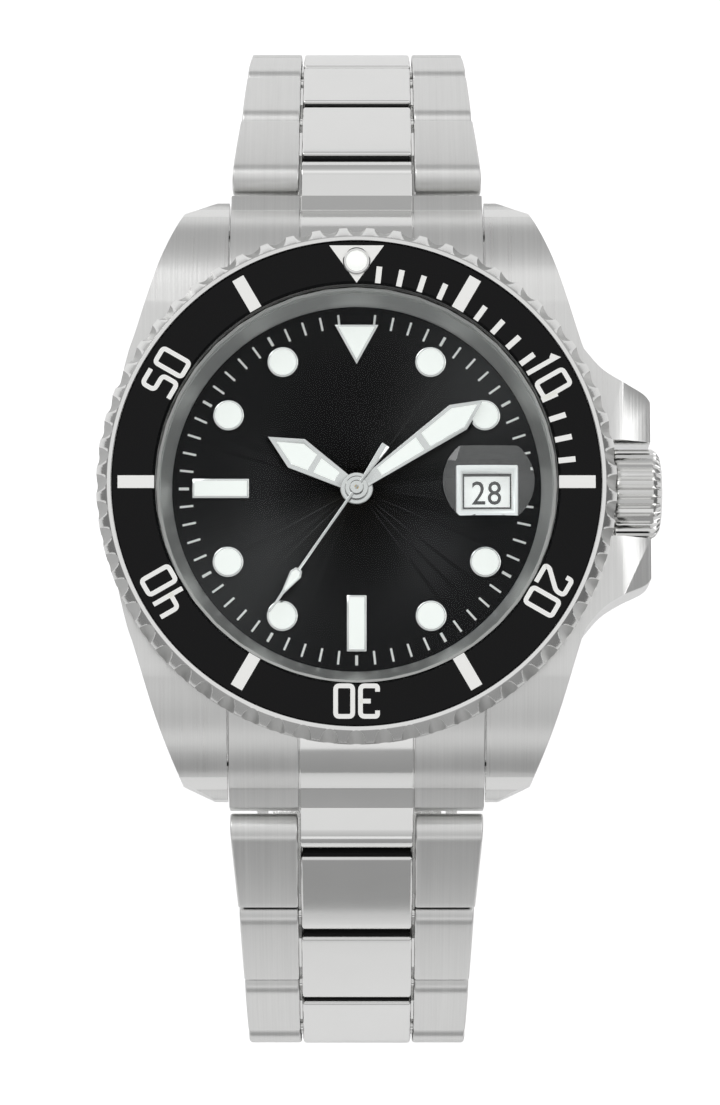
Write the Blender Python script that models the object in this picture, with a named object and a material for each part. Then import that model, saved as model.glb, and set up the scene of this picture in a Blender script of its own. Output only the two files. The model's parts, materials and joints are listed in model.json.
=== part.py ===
"""Dive watch on a closed three-link steel bracelet, built from separate solids.

Frame: +Z points to 12 o'clock, +X to 3 o'clock and the dial faces -Y. The origin is the
centre of the case back's flat face. Sizes are in millimetres and the mesh helpers turn them
into metres. A depth is counted from the case back towards the dial, so it lies at -Y.
"""

import math

import bmesh
import bpy
from mathutils import Matrix, Vector

MM = 0.001
RING_STEPS = 40
SMALL_STEPS = 16
PIN_STEPS = 8
ROUND_END_STEPS = 4
FIT = 0.05  # parts pressed or glued together
RUN = 0.2  # parts that turn past each other
OVERSHOOT = 1.0  # how far a cutter passes the wall it cuts

# Case middle, seen from the front as (x, z) and from the side as (z, depth)
CASE_BACK_DEPTH = 2.2
CASE_TOP_DEPTH = 8.4
CASE_BODY_RADIUS = 18.6
LUG_GAP = 20.0
LUG_TO_LUG = 47.2
BORE_RADIUS = 14.9
REHAUT_BORE_RADIUS = 15.45
REHAUT_STEP_DEPTH = 7.75
NECK_RADIUS = 16.5
NECK_TOP_DEPTH = 10.1
FLANK = ((19.0, 5.0), (17.8, 10.2), (17.1, 12.4), (15.65, 17.1), (14.6, 19.9), (13.5, 22.4))
GUARD = ((17.6, 10.9), (18.9, 9.4), (20.4, 8.4), (22.2, 7.5), (22.75, 6.9))
RECESS_X = 19.3
GUARD_CLEARANCE = 0.25

# Screw-down case back
BACK_RADIUS = 17.6
BACK_FLANGE = (0.7, 1.9)
BACK_PLUG_RADIUS = 15.7
BACK_FLOOR = 1.2

# Turning bezel and its insert
BEZEL_RADIUS = 20.0
BEZEL_DEPTHS = (8.65, 11.35)
BEZEL_SCALLOPS = 60
SCALLOP_DEPTH = 0.6
INSERT_RADIUS = 18.8
INSERT_TOP_DEPTH = 11.3
INSERT_THICKNESS = 0.85
PIP_RADIUS = 0.85
PIP_CENTRE = 17.2

# Crystal, magnifier, rehaut and dial
CRYSTAL_RADIUS = 15.12
CRYSTAL_DEPTHS = (9.1, 11.5)
MAGNIFIER_RADIUS = 3.5
MAGNIFIER_HEIGHT = 5.4
MAGNIFIER_RISE = 0.75
REHAUT_INNER = 14.25
DIAL_RADIUS = 14.6
DIAL_TOP_DEPTH = 7.7
DIAL_THICKNESS = 0.4
DATE_X = 10.1
DATE_WINDOW = (2.6, 1.8)
DATE_FRAME = (3.6, 3.0)

# Hands: each lies at its own depth; angles are clockwise from 12
HOUR_ANGLE = 300.4
MINUTE_ANGLE = 55.0
SECOND_ANGLE = 214.6
HOUR_DEPTHS = (7.95, 8.12)
MINUTE_DEPTHS = (8.3, 8.46)
SECOND_DEPTHS = (8.64, 8.76)
HOUR_TUBE = (0.65, 0.95)
MINUTE_TUBE = (0.3, 0.55)
ARBOR_RADIUS = 0.2

# Self-winding movement
MOVEMENT_RADIUS = 12.8
PLATE_DEPTHS = (5.4, 6.5)
BRIDGE_DEPTHS = (2.75, 3.4)
DATE_RING = (7.6, 12.4)
DATE_RING_DEPTHS = (6.75, 6.95)
BARREL_CENTRE = (-5.6, 5.9)
BARREL_RADIUS = 4.5
FOURTH_RADIUS = 3.0
THIRD_CENTRE = (-2.0, -3.9)
THIRD_RADIUS = 3.1
ESCAPE_CENTRE = (2.6, -2.56)
ESCAPE_RADIUS = 2.0
PALLET_CENTRE = (4.75, -4.7)
BALANCE_CENTRE = (6.2, -6.1)
BALANCE_RADIUS = 3.9
COCK_FOOT = (11.0, -2.6)
ROTOR_RADIUS = 12.4
ROTOR_DEPTHS = (1.6, 2.5)
BARREL_DEPTHS = (3.7, 5.1)
FOURTH_DEPTHS = (4.3, 4.5)
THIRD_DEPTHS = (4.75, 4.95)
ESCAPE_DEPTHS = (3.85, 4.0)
BALANCE_DEPTHS = (3.2, 3.55)
HOLDER_DEPTHS = (4.2, 6.9)
FOOT_RADIUS = 0.9

# Crown, tube and stem, turned about the line (y, z) = (-CROWN_DEPTH, 0)
CROWN_DEPTH = 5.0
CROWN_RADIUS = 3.5
CROWN_FLUTES = 30
FLUTE_DEPTH = 0.25
CROWN_SPAN = (19.8, 23.7)
CROWN_BORE = (2.0, 21.9)
TUBE_RADII = (0.9, 1.6)
TUBE_SPAN = (15.1, 21.0)
STEM_RADIUS = 0.5
STEM_SPAN = (5.2, 22.9)
PINION_SPAN = (8.5, 10.5)
PINION_RADIUS = 1.0

# Bracelet: the hinge line of each row starts at (FIRST_HINGE_Z, -FIRST_HINGE_DEPTH)
HINGE_BEYOND_TIP = 2.3
FIRST_HINGE_Z = LUG_TO_LUG / 2 + HINGE_BEYOND_TIP
FIRST_HINGE_DEPTH = 1.2
ROW_PITCH = 8.6
ROW_ANGLES = (47.0, 55.0, 69.0, 92.0, 112.0, 130.0, 150.0, 168.0)
ROWS_AT_12 = 8
ROWS_AT_6 = 7
ROW_RADIUS = 1.35
ROW_GAP = 0.2
CENTRE_WIDTH = 8.8
CLASP_WIDTH = 17.2
TAPER = 2.3
PIN_RADIUS = 0.42
PIN_CLEARANCE = 0.1
BAR_TO_TIP = 2.6
SPRING_BAR_Z = LUG_TO_LUG / 2 - BAR_TO_TIP
SPRING_BAR_DEPTH = 2.4
SPRING_BAR_RADII = (0.75, 0.45)
LUG_HOLE_DEPTH = 1.3

# Folding clasp, along the line between the last hinges
CLASP_RISE = 3.0
COVER_LAYER = (1.5, 2.4)
COVER_WALL = 0.95
OUTER_BLADE_LAYER = (0.55, 1.25)
INNER_BLADE_LAYER = (-0.45, 0.25)
FLAP_LAYER = (2.6, 3.2)
BLADE_HALF_WIDTH = 7.35
COVER_END = 4.3
FOLD_START = 4.0
FOLD_OFFSET = 0.4
KNUCKLE_RADIUS = 0.85
FOLD_PIN = 0.35
KNUCKLE_HALF = 3.0  # the inner blade's middle knuckle; the outer blade's fork clears it by RUN
TRUNNION_RADIUS = 0.3
TRUNNION_HOLE = 0.4
FLAP_LENGTH = 10.5
FLAP_HALF = 4.5
EAR_SPAN = (4.75, 5.75)

DIAL_AXES = Matrix.Rotation(math.pi / 2, 4, "X")  # built along +Z, laid along -Y
CROWN_AXES = Matrix.Rotation(math.pi / 2, 4, "Y")  # built along +Z, laid along +X
SIDE_AXES = Matrix(((0, 0, 1, 0), (0, -1, 0, 0), (1, 0, 0, 0), (0, 0, 0, 1)))  # (z, depth) outline


def clear_scene():
    """Remove everything that the startup file holds."""
    for item in list(bpy.data.objects):
        bpy.data.objects.remove(item, do_unlink=True)


def finish(name, colour, metallic, roughness):
    """Return the Principled BSDF material of one part."""
    material = bpy.data.materials.new(name)
    material.use_nodes = True
    shader = material.node_tree.nodes["Principled BSDF"]
    shader.inputs["Base Color"].default_value = (*colour, 1.0)
    shader.inputs["Metallic"].default_value = metallic
    shader.inputs["Roughness"].default_value = roughness
    return material


def steel(name, roughness=0.3):
    return finish(name, (0.72, 0.72, 0.73), 1.0, roughness)


def brass(name):
    return finish(name, (0.75, 0.6, 0.32), 1.0, 0.3)


def to_object(name, bm, material, axes):
    """Turn a closed bmesh in millimetres into a smooth-shaded object in metres."""
    bm.transform(axes)
    bmesh.ops.remove_doubles(bm, verts=bm.verts, dist=1e-4)
    bmesh.ops.recalc_face_normals(bm, faces=bm.faces)
    bm.transform(Matrix.Scale(MM, 4))
    mesh = bpy.data.meshes.new(name)
    bm.to_mesh(mesh)
    bm.free()
    mesh.materials.append(material)
    mesh.shade_smooth()
    mesh.set_sharp_from_angle(angle=math.radians(35))
    item = bpy.data.objects.new(name, mesh)
    bpy.context.collection.objects.link(item)
    return item


def turned(name, outline, material, steps=RING_STEPS, axes=DIAL_AXES):
    """Spin an outline of (radius, height) points once round its axis.

    An outline that starts and ends on the axis is a solid, any other is closed into a ring.
    """
    bm = bmesh.new()
    points = [bm.verts.new((radius, 0.0, height)) for radius, height in outline]
    on_axis = outline[0][0] == 0 and outline[-1][0] == 0
    pairs = list(zip(points, points[1:])) + ([] if on_axis else [(points[-1], points[0])])
    edges = [bm.edges.new(pair) for pair in pairs]
    bmesh.ops.spin(
        bm,
        geom=points + edges,
        axis=(0, 0, 1),
        cent=(0, 0, 0),
        angle=2 * math.pi,
        steps=steps,
        use_merge=True,
    )
    return to_object(name, bm, material, axes)


def ring(name, inner, outer, low, high, material, steps=RING_STEPS, axes=DIAL_AXES):
    """A plain ring between two radii, or a disc when the inner radius is 0."""
    outline = [(inner, low), (outer, low), (outer, high), (inner, high)]
    return turned(name, outline, material, steps, axes)


def extruded(name, outline, low, high, material, axes=DIAL_AXES):
    """Extrude a closed outline of (x, y) points from one height to another."""
    bm = bmesh.new()
    face = bm.faces.new([bm.verts.new((x, y, low)) for x, y in outline])
    raised = bmesh.ops.extrude_face_region(bm, geom=[face])["geom"]
    corners = [part for part in raised if isinstance(part, bmesh.types.BMVert)]
    bmesh.ops.translate(bm, verts=corners, vec=(0, 0, high - low))
    return to_object(name, bm, material, axes)


def block(name, x_span, depth_span, z_span, material):
    """A box given by its spans in x, depth and z."""
    (left, right), (bottom, top) = x_span, z_span
    outline = [(left, bottom), (right, bottom), (right, top), (left, top)]
    return extruded(name, outline, *depth_span, material)


def combine(target, tool, operation="DIFFERENCE"):
    """Join, cut or trim a part with a hidden helper."""
    modifier = target.modifiers.new(tool.name, "BOOLEAN")
    modifier.operation = operation
    modifier.solver = "EXACT"
    modifier.object = tool
    tool.hide_render = True
    tool.display_type = "WIRE"


def flute(item, plane, radius, count, depth):
    """Draw in every second column of a turned part's outer wall, round the plane's two axes."""
    across, up = plane
    pitch = 2 * math.pi / count
    for vertex in item.data.vertices:
        reach = math.hypot(vertex.co[across], vertex.co[up])
        turn = math.atan2(vertex.co[across], vertex.co[up]) / pitch
        if reach > (radius - 0.1) * MM and abs(turn - round(turn)) > 0.1:
            shrink = 1 - depth * MM / reach
            vertex.co[across] *= shrink
            vertex.co[up] *= shrink


def put_at(item, x=0.0, depth=0.0, z=0.0):
    item.location = Vector((x, -depth, z)) * MM
    return item


def arc(radius, start, end, steps):
    """Points (x, y) on a circle about the origin, with the angles in degrees."""
    angles = [math.radians(start + (end - start) * step / steps) for step in range(steps + 1)]
    return [(radius * math.cos(angle), radius * math.sin(angle)) for angle in angles]


def shifted(points, x, y):
    return [(px + x, py + y) for px, py in points]


def mirrored(points):
    """The outline's other half, mirrored in x and walked backwards."""
    return [(-x, y) for x, y in reversed(points)]


# ---------------------------------------------------------------------------- case

LUG_PROFILE = ((14.5, 0.0), (17.2, -0.5), (19.5, -1.5), (21.5, -3.0), (22.9, -4.9))


def case_outline():
    """The case middle from the front: round between the lugs, with crown guards at +X."""
    half_gap = LUG_GAP / 2
    tip = LUG_TO_LUG / 2
    start = math.degrees(math.acos(half_gap / CASE_BODY_RADIUS))
    between_lugs = arc(CASE_BODY_RADIUS, start, 180 - start, 10)
    lug_left = [(-half_gap, tip), (-half_gap - 1.0, tip), *mirrored(FLANK)]
    lug_right = [*FLANK[2:], (half_gap + 1.0, tip), (half_gap, tip)]
    crown_side = CROWN_RADIUS + GUARD_CLEARANCE
    guards = [(RECESS_X, crown_side), (GUARD[-1][0], crown_side), *reversed(GUARD)]
    upper = between_lugs + lug_left
    lower = [(x, -z) for x, z in reversed(upper)]
    low_guards = [(x, -z) for x, z in reversed(guards)]
    low_right = [(x, -z) for x, z in reversed(lug_right)]
    return upper + lower + low_right + low_guards + guards + lug_right


def lug_side_outline():
    """The case middle from the side as (z, depth), with lugs that fall towards the wrist."""
    tip = LUG_TO_LUG / 2
    upper = [(z, CASE_TOP_DEPTH + drop) for z, drop in LUG_PROFILE]
    upper += [(tip + OVERSHOOT / 2, 1.9), (tip + OVERSHOOT / 2, 0.7), (tip - 0.8, 0.3)]
    upper += [(20.0, 0.8), (BACK_RADIUS + 0.6, CASE_BACK_DEPTH)]
    return upper + mirrored(upper)


def make_mid_case():
    polished = steel("case_steel", 0.25)
    case = extruded(
        "mid_case", case_outline(), -OVERSHOOT, CASE_TOP_DEPTH + OVERSHOOT, polished
    )
    reach = (-CASE_BODY_RADIUS * 1.5, CASE_BODY_RADIUS * 1.5)
    side = extruded("case_side_form", lug_side_outline(), *reach, polished, SIDE_AXES)
    combine(case, side, "INTERSECT")
    bore = [
        (0, CASE_BACK_DEPTH - OVERSHOOT),
        (17.1, CASE_BACK_DEPTH - OVERSHOOT),
        (17.1, 2.7),
        (BACK_PLUG_RADIUS + 0.3, 2.7),
        (BACK_PLUG_RADIUS + 0.3, 3.6),
        (BORE_RADIUS, 3.6),
        (BORE_RADIUS, REHAUT_STEP_DEPTH),
        (REHAUT_BORE_RADIUS, REHAUT_STEP_DEPTH),
        (REHAUT_BORE_RADIUS, NECK_TOP_DEPTH + OVERSHOOT),
        (0, NECK_TOP_DEPTH + OVERSHOOT),
    ]
    root = CASE_TOP_DEPTH - 2 * OVERSHOOT
    neck = [
        (BORE_RADIUS - OVERSHOOT, root),
        (NECK_RADIUS, root),
        (NECK_RADIUS, 8.95),
        (NECK_RADIUS - 0.3, 8.95),
        (NECK_RADIUS - 0.3, 9.55),
        (NECK_RADIUS, 9.55),
        (NECK_RADIUS, NECK_TOP_DEPTH),
        (BORE_RADIUS - OVERSHOOT, NECK_TOP_DEPTH),
    ]
    combine(case, turned("case_neck", neck, polished), "UNION")
    combine(case, turned("case_bore", bore, polished))
    click_groove = ring("click_groove", 17.0, 18.3, 7.9, CASE_TOP_DEPTH + OVERSHOOT, polished)
    combine(case, click_groove)
    tube_hole = ring(
        "tube_hole", 0, TUBE_RADII[1] + FIT, BORE_RADIUS - 2, RECESS_X + OVERSHOOT, polished,
        SMALL_STEPS, CROWN_AXES,
    )
    combine(case, put_at(tube_hole, depth=CROWN_DEPTH))
    for side_sign in (1, -1):
        reach = LUG_GAP / 2 + LUG_HOLE_DEPTH
        hole = ring(
            f"lug_hole_{side_sign}", 0, SPRING_BAR_RADII[1] + PIN_CLEARANCE, -reach, reach, polished,
            PIN_STEPS, CROWN_AXES,
        )
        combine(case, put_at(hole, depth=SPRING_BAR_DEPTH, z=side_sign * SPRING_BAR_Z))


def make_case_back():
    low, high = BACK_FLANGE
    outline = [
        (0, 0),
        (BACK_RADIUS - 0.9, 0),
        (BACK_RADIUS, low),
        (BACK_RADIUS, high),
        (BACK_PLUG_RADIUS, high),
        (BACK_PLUG_RADIUS, 3.3),
        (BACK_PLUG_RADIUS - 1.1, 3.3),
        (BACK_PLUG_RADIUS - 1.1, BACK_FLOOR),
        (0, BACK_FLOOR),
    ]
    turned("case_back", outline, steel("case_back_steel", 0.3))
    rubber = finish("seal_rubber", (0.03, 0.03, 0.03), 0.0, 0.6)
    ring("case_back_gasket", 16.5, 17.0, high + FIT, 2.6, rubber)


# --------------------------------------------------------------------------- bezel


def make_bezel():
    """The scalloped bezel: every second column of its outer wall is a tip."""
    low, high = BEZEL_DEPTHS
    seat = INSERT_TOP_DEPTH - INSERT_THICKNESS - FIT
    inner = NECK_RADIUS + 0.35
    outline = [
        (inner, low),
        (INSERT_RADIUS + 0.3, low),
        (BEZEL_RADIUS, low + 0.4),
        (BEZEL_RADIUS, high - 1.0),
        (INSERT_RADIUS + 0.35, high),
        (INSERT_RADIUS + FIT, high),
        (INSERT_RADIUS + FIT, seat),
        (inner, seat),
        (inner, 9.65),
        (inner + 0.35, 9.65),
        (inner + 0.35, 8.9),
        (inner, 8.9),
    ]
    bezel = turned("bezel_ring", outline, steel("bezel_steel", 0.2), BEZEL_SCALLOPS * 2)
    flute(bezel, (0, 2), BEZEL_RADIUS, BEZEL_SCALLOPS, SCALLOP_DEPTH)


def make_insert():
    black = finish("insert_ceramic", (0.015, 0.015, 0.017), 0.0, 0.15)
    low = INSERT_TOP_DEPTH - INSERT_THICKNESS
    insert = ring("bezel_insert", REHAUT_BORE_RADIUS, INSERT_RADIUS, low, INSERT_TOP_DEPTH, black)
    hole = ring("pip_hole", 0, PIP_RADIUS + FIT, low - OVERSHOOT, 20, black, SMALL_STEPS)
    combine(insert, put_at(hole, z=PIP_CENTRE))
    lume = finish("lume_pip", (0.85, 0.87, 0.84), 0.0, 0.4)
    outline = [
        (0, low + FIT),
        (PIP_RADIUS, low + FIT),
        (PIP_RADIUS, INSERT_TOP_DEPTH),
        (PIP_RADIUS * 0.6, INSERT_TOP_DEPTH + 0.25),
        (0, INSERT_TOP_DEPTH + 0.32),
    ]
    put_at(turned("bezel_lume_pip", outline, lume, SMALL_STEPS), z=PIP_CENTRE)


def make_bezel_springs():
    ring("bezel_retaining_wire", 16.35, 17.0, 9.05, 9.45, steel("spring_wire", 0.35))
    ring("bezel_click_spring", 17.15, 18.15, 8.0, 8.35, steel("click_steel", 0.35))


# --------------------------------------------------------------------------- glass


def make_crystal():
    glass = finish("crystal_glass", (0.9, 0.93, 0.95), 0.0, 0.05)
    low, high = CRYSTAL_DEPTHS
    outline = [(0, low), (CRYSTAL_RADIUS, low), (CRYSTAL_RADIUS, high - 0.25)]
    outline += [(CRYSTAL_RADIUS - 0.25, high), (0, high)]
    turned("crystal", outline, glass)
    gasket = finish("crystal_seal", (0.8, 0.8, 0.78), 0.0, 0.5)
    edge = (low + FIT, NECK_TOP_DEPTH - 0.1)
    ring("crystal_gasket", CRYSTAL_RADIUS + FIT, REHAUT_BORE_RADIUS - FIT, *edge, gasket)


def make_magnifier():
    """A round lens cut flat above and below, glued over the date."""
    glass = finish("magnifier_glass", (0.9, 0.93, 0.95), 0.0, 0.05)
    low = CRYSTAL_DEPTHS[1] + FIT
    edge = low + MAGNIFIER_RISE * 0.35
    half = MAGNIFIER_HEIGHT / 2
    outline = [(0, low), (MAGNIFIER_RADIUS, low), (MAGNIFIER_RADIUS, edge)]
    outline += [(MAGNIFIER_RADIUS * 0.6, low + MAGNIFIER_RISE * 0.85), (0, low + MAGNIFIER_RISE)]
    lens = turned("date_magnifier", outline, glass, 32)
    span = (-MAGNIFIER_RADIUS - OVERSHOOT, MAGNIFIER_RADIUS + OVERSHOOT)
    trim = block("magnifier_trim", span, (low - OVERSHOOT, low + 2), (-half, half), glass)
    combine(lens, trim, "INTERSECT")
    put_at(lens, x=DATE_X)
    put_at(trim, x=DATE_X)


# ---------------------------------------------------------------------------- dial


def make_dial():
    black = finish("dial_black", (0.02, 0.02, 0.02), 0.3, 0.35)
    low = DIAL_TOP_DEPTH - DIAL_THICKNESS
    dial = ring("dial", HOUR_TUBE[1] + RUN, DIAL_RADIUS, low, DIAL_TOP_DEPTH, black)
    width, height = DATE_WINDOW
    window = block(
        "date_window",
        (DATE_X - width / 2, DATE_X + width / 2),
        (low - OVERSHOOT, DIAL_TOP_DEPTH + OVERSHOOT),
        (-height / 2, height / 2),
        black,
    )
    combine(dial, window)
    rehaut = [
        (REHAUT_INNER, DIAL_TOP_DEPTH + 0.12),
        (REHAUT_BORE_RADIUS - 0.15, DIAL_TOP_DEPTH + 0.12),
        (REHAUT_BORE_RADIUS - 0.15, CRYSTAL_DEPTHS[0] - FIT),
        (REHAUT_BORE_RADIUS - 0.3, CRYSTAL_DEPTHS[0] - FIT),
        (REHAUT_INNER, DIAL_TOP_DEPTH + 0.3),
    ]
    turned("rehaut_ring", rehaut, steel("rehaut_steel", 0.3))


def make_date_frame():
    """The bevelled frame applied round the date window."""
    low = DIAL_TOP_DEPTH + FIT
    width, height = DATE_FRAME
    inner_width, inner_height = DATE_WINDOW
    look = steel("date_frame_steel", 0.2)
    spans = ((DATE_X - width / 2, DATE_X + width / 2), (-height / 2, height / 2))
    frame = block("date_window_frame", spans[0], (low, low + 0.3), spans[1], look)
    hole = block(
        "date_frame_hole",
        (DATE_X - inner_width / 2, DATE_X + inner_width / 2),
        (low - OVERSHOOT, low + OVERSHOOT),
        (-inner_height / 2, inner_height / 2),
        look,
    )
    combine(frame, hole)


def make_hand(name, side, depths, angle, hub_radius, bore, material):
    """A flat hand: its right-hand edge as (x, z) points, mirrored, with a round hub.

    The hand points to 12 and then turns clockwise to its angle. The bore fits its tube.
    """
    outline = side + mirrored([point for point in side if point[0] > 0])
    hand = extruded(name, outline, *depths, material)
    boss = depths[0] - 0.03, depths[1] + 0.03
    hub = ring(name + "_hub", 0, hub_radius, *boss, material, SMALL_STEPS)
    combine(hand, hub, "UNION")
    if bore:
        hole = ring(
            name + "_bore", 0, bore, depths[0] - OVERSHOOT, depths[1] + OVERSHOOT, material,
            SMALL_STEPS,
        )
        combine(hand, hole)
        hole.parent = hand
    hub.parent = hand
    hand.rotation_euler.y = math.radians(angle)


def make_hands():
    hour = [(0.0, 0.4), (0.5, 0.6), (0.62, 1.2), (1.3, 5.4), (0.0, 7.97)]
    minute = [(0.0, 0.1), (0.4, 0.3), (0.47, 1.2), (1.18, 9.6), (0.0, 11.97)]
    second = [(0.0, -4.0), (0.33, -3.6), (0.1, -0.9), (0.1, 7.7), (0.5, 8.25), (0.12, 9.97)]
    second += [(0.0, 11.8)]
    make_hand(
        "hour_hand", hour, HOUR_DEPTHS, HOUR_ANGLE, 1.26, HOUR_TUBE[1] + FIT, steel("hour_steel")
    )
    make_hand(
        "minute_hand", minute, MINUTE_DEPTHS, MINUTE_ANGLE, 0.95, MINUTE_TUBE[1] + FIT,
        steel("minute_steel"),
    )
    make_hand(
        "seconds_hand", second, SECOND_DEPTHS, SECOND_ANGLE, 0.5, ARBOR_RADIUS + FIT,
        steel("seconds_steel"),
    )


# ------------------------------------------------------------------------ movement


def make_date_disc():
    white = finish("date_disc_white", (0.85, 0.85, 0.84), 0.0, 0.5)
    ring("date_disc", *DATE_RING, *DATE_RING_DEPTHS, white)


def make_motion_work():
    """The hour wheel and its tube, and the cannon pinion inside it."""
    inner, outer = HOUR_TUBE
    low, high = DATE_RING_DEPTHS
    wheel = [(inner, low), (3.2, low), (3.2, high), (outer, high), (outer, HOUR_DEPTHS[1])]
    turned("hour_wheel", [*wheel, (inner, HOUR_DEPTHS[1])], brass("hour_wheel_brass"), SMALL_STEPS)
    inner, outer = MINUTE_TUBE
    flange = PLATE_DEPTHS[0] - 0.3
    pinion = [(inner, flange), (outer + 0.35, flange), (outer + 0.35, flange + 0.2)]
    pinion += [(outer, flange + 0.2), (outer, MINUTE_DEPTHS[1]), (inner, MINUTE_DEPTHS[1])]
    turned("cannon_pinion", pinion, steel("pinion_steel"), SMALL_STEPS)


def make_train():
    """Barrel, third, fourth and escape wheels, in plain rims."""
    barrel = ring("mainspring_barrel", 0, BARREL_RADIUS, *BARREL_DEPTHS, brass("barrel_brass"), 32)
    put_at(barrel, x=BARREL_CENTRE[0], z=BARREL_CENTRE[1])
    low, high = FOURTH_DEPTHS
    fourth = [(0, BARREL_DEPTHS[0]), (ARBOR_RADIUS, BARREL_DEPTHS[0]), (ARBOR_RADIUS, low)]
    fourth += [(FOURTH_RADIUS, low), (FOURTH_RADIUS, high), (ARBOR_RADIUS, high)]
    fourth += [(ARBOR_RADIUS, SECOND_DEPTHS[1]), (0, SECOND_DEPTHS[1])]
    turned("fourth_wheel", fourth, brass("fourth_brass"), SMALL_STEPS)
    third = ring("third_wheel", 0, THIRD_RADIUS, *THIRD_DEPTHS, brass("third_brass"), 24)
    put_at(third, x=THIRD_CENTRE[0], z=THIRD_CENTRE[1])
    escape = ring("escape_wheel", 0, ESCAPE_RADIUS, *ESCAPE_DEPTHS, steel("escape_steel"), 15)
    put_at(escape, x=ESCAPE_CENTRE[0], z=ESCAPE_CENTRE[1])


def make_escapement():
    """The pallet fork and the balance wheel with its staff and one arm."""
    fork = [(-0.5, -0.45), (0.5, -0.45), (1.5, -0.12), (1.5, 0.12), (0.5, 0.45), (-0.5, 0.45)]
    fork = extruded("pallet_fork", fork, *ESCAPE_DEPTHS, steel("pallet_steel"))
    fork.rotation_euler.y = math.radians(45)
    put_at(fork, x=PALLET_CENTRE[0], z=PALLET_CENTRE[1])
    look = brass("balance_brass")
    low, high = BALANCE_DEPTHS
    balance = ring("balance_wheel", BALANCE_RADIUS - 0.6, BALANCE_RADIUS, low, high, look, 32)
    reach = BALANCE_RADIUS - 0.3
    arm = block("balance_arm", (-reach, reach), (low + FIT, high - FIT), (-0.2, 0.2), look)
    staff = ring("balance_staff", 0, 0.3, 3.0, 5.2, look, PIN_STEPS)
    combine(balance, arm, "UNION")
    combine(balance, staff, "UNION")
    for piece in (balance, arm, staff):
        put_at(piece, x=BALANCE_CENTRE[0], z=BALANCE_CENTRE[1])


def make_plate():
    look = steel("plate_nickel", 0.35)
    low, high = PLATE_DEPTHS
    plate = ring("main_plate", MINUTE_TUBE[1] + 0.65, MOVEMENT_RADIUS, low, high, look, 48)
    slot = block(
        "stem_slot",
        (STEM_SPAN[0] - 0.7, MOVEMENT_RADIUS + OVERSHOOT),
        (low - OVERSHOOT, CROWN_DEPTH + PINION_RADIUS + 0.15),
        (-PINION_RADIUS - RUN, PINION_RADIUS + RUN),
        look,
    )
    combine(plate, slot)
    holder = finish("holder_plastic", (0.1, 0.1, 0.11), 0.0, 0.5)
    movement_holder = ring(
        "movement_holder", MOVEMENT_RADIUS + 0.1, BORE_RADIUS - 0.1, *HOLDER_DEPTHS, holder
    )
    notch = block(
        "holder_notch",
        (MOVEMENT_RADIUS - OVERSHOOT, BORE_RADIUS + OVERSHOOT),
        (HOLDER_DEPTHS[0] - OVERSHOOT, CROWN_DEPTH + STEM_RADIUS + RUN),
        (-0.8, 0.8),
        holder,
    )
    combine(movement_holder, notch)


def make_bridges():
    """The train bridge on three feet, with the rotor's post, and the balance cock."""
    look = steel("bridge_nickel", 0.35)
    low, high = BRIDGE_DEPTHS
    bridge = ring("train_bridge", 0, MOVEMENT_RADIUS - 0.5, low, high, look, 48)
    clearing = ring("balance_clearing", 0, BALANCE_RADIUS + 3.2, low - 1, high + 1, look, 32)
    combine(bridge, put_at(clearing, x=BALANCE_CENTRE[0] + 2.2, z=BALANCE_CENTRE[1] - 0.2))
    for number, (x, z) in enumerate(((-11.0, -3.2), (3.2, 10.8), (-3.6, -11.0))):
        span = (high - 0.3, PLATE_DEPTHS[0] - FIT)
        foot = ring(f"bridge_foot_{number}", 0, FOOT_RADIUS, *span, look, PIN_STEPS)
        combine(bridge, put_at(foot, x=x, z=z), "UNION")
    post = ring("rotor_post", 0, FOOT_RADIUS, ROTOR_DEPTHS[0] + 0.1, low + 0.3, look, SMALL_STEPS)
    combine(bridge, post, "UNION")

    cock = block("balance_bridge", (0, 6.0), (low - 0.1, 2.95), (-1.1, 1.1), look)
    foot = ring("cock_foot", 0, FOOT_RADIUS, 2.8, PLATE_DEPTHS[0] - FIT, look, PIN_STEPS)
    combine(cock, foot, "UNION")
    span = Vector(COCK_FOOT) - Vector(BALANCE_CENTRE)
    cock.rotation_euler.y = -math.atan2(span.y, span.x)
    put_at(cock, x=BALANCE_CENTRE[0], z=BALANCE_CENTRE[1])
    put_at(foot, x=COCK_FOOT[0], z=COCK_FOOT[1])


def make_rotor():
    """The half-disc winding weight, turning on the post at the centre."""
    low, high = ROTOR_DEPTHS
    look = steel("rotor_steel", 0.3)
    rim = arc(ROTOR_RADIUS, 180, 360, 12)
    rotor = extruded("rotor", rim, low + 0.4, high - 0.1, look)
    hub = ring("rotor_hub", 0, 2.4, low + 0.2, high, look, SMALL_STEPS)
    band = arc(ROTOR_RADIUS, 184, 356, 12) + arc(ROTOR_RADIUS - 1.8, 356, 184, 12)
    weight = extruded("rotor_weight", band, low, high, look)
    bore = ring("rotor_bore", 0, FOOT_RADIUS + RUN, low - OVERSHOOT, high + OVERSHOOT, look, SMALL_STEPS)
    combine(rotor, hub, "UNION")
    combine(rotor, weight, "UNION")
    combine(rotor, bore)


# --------------------------------------------------------------------------- crown


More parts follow.
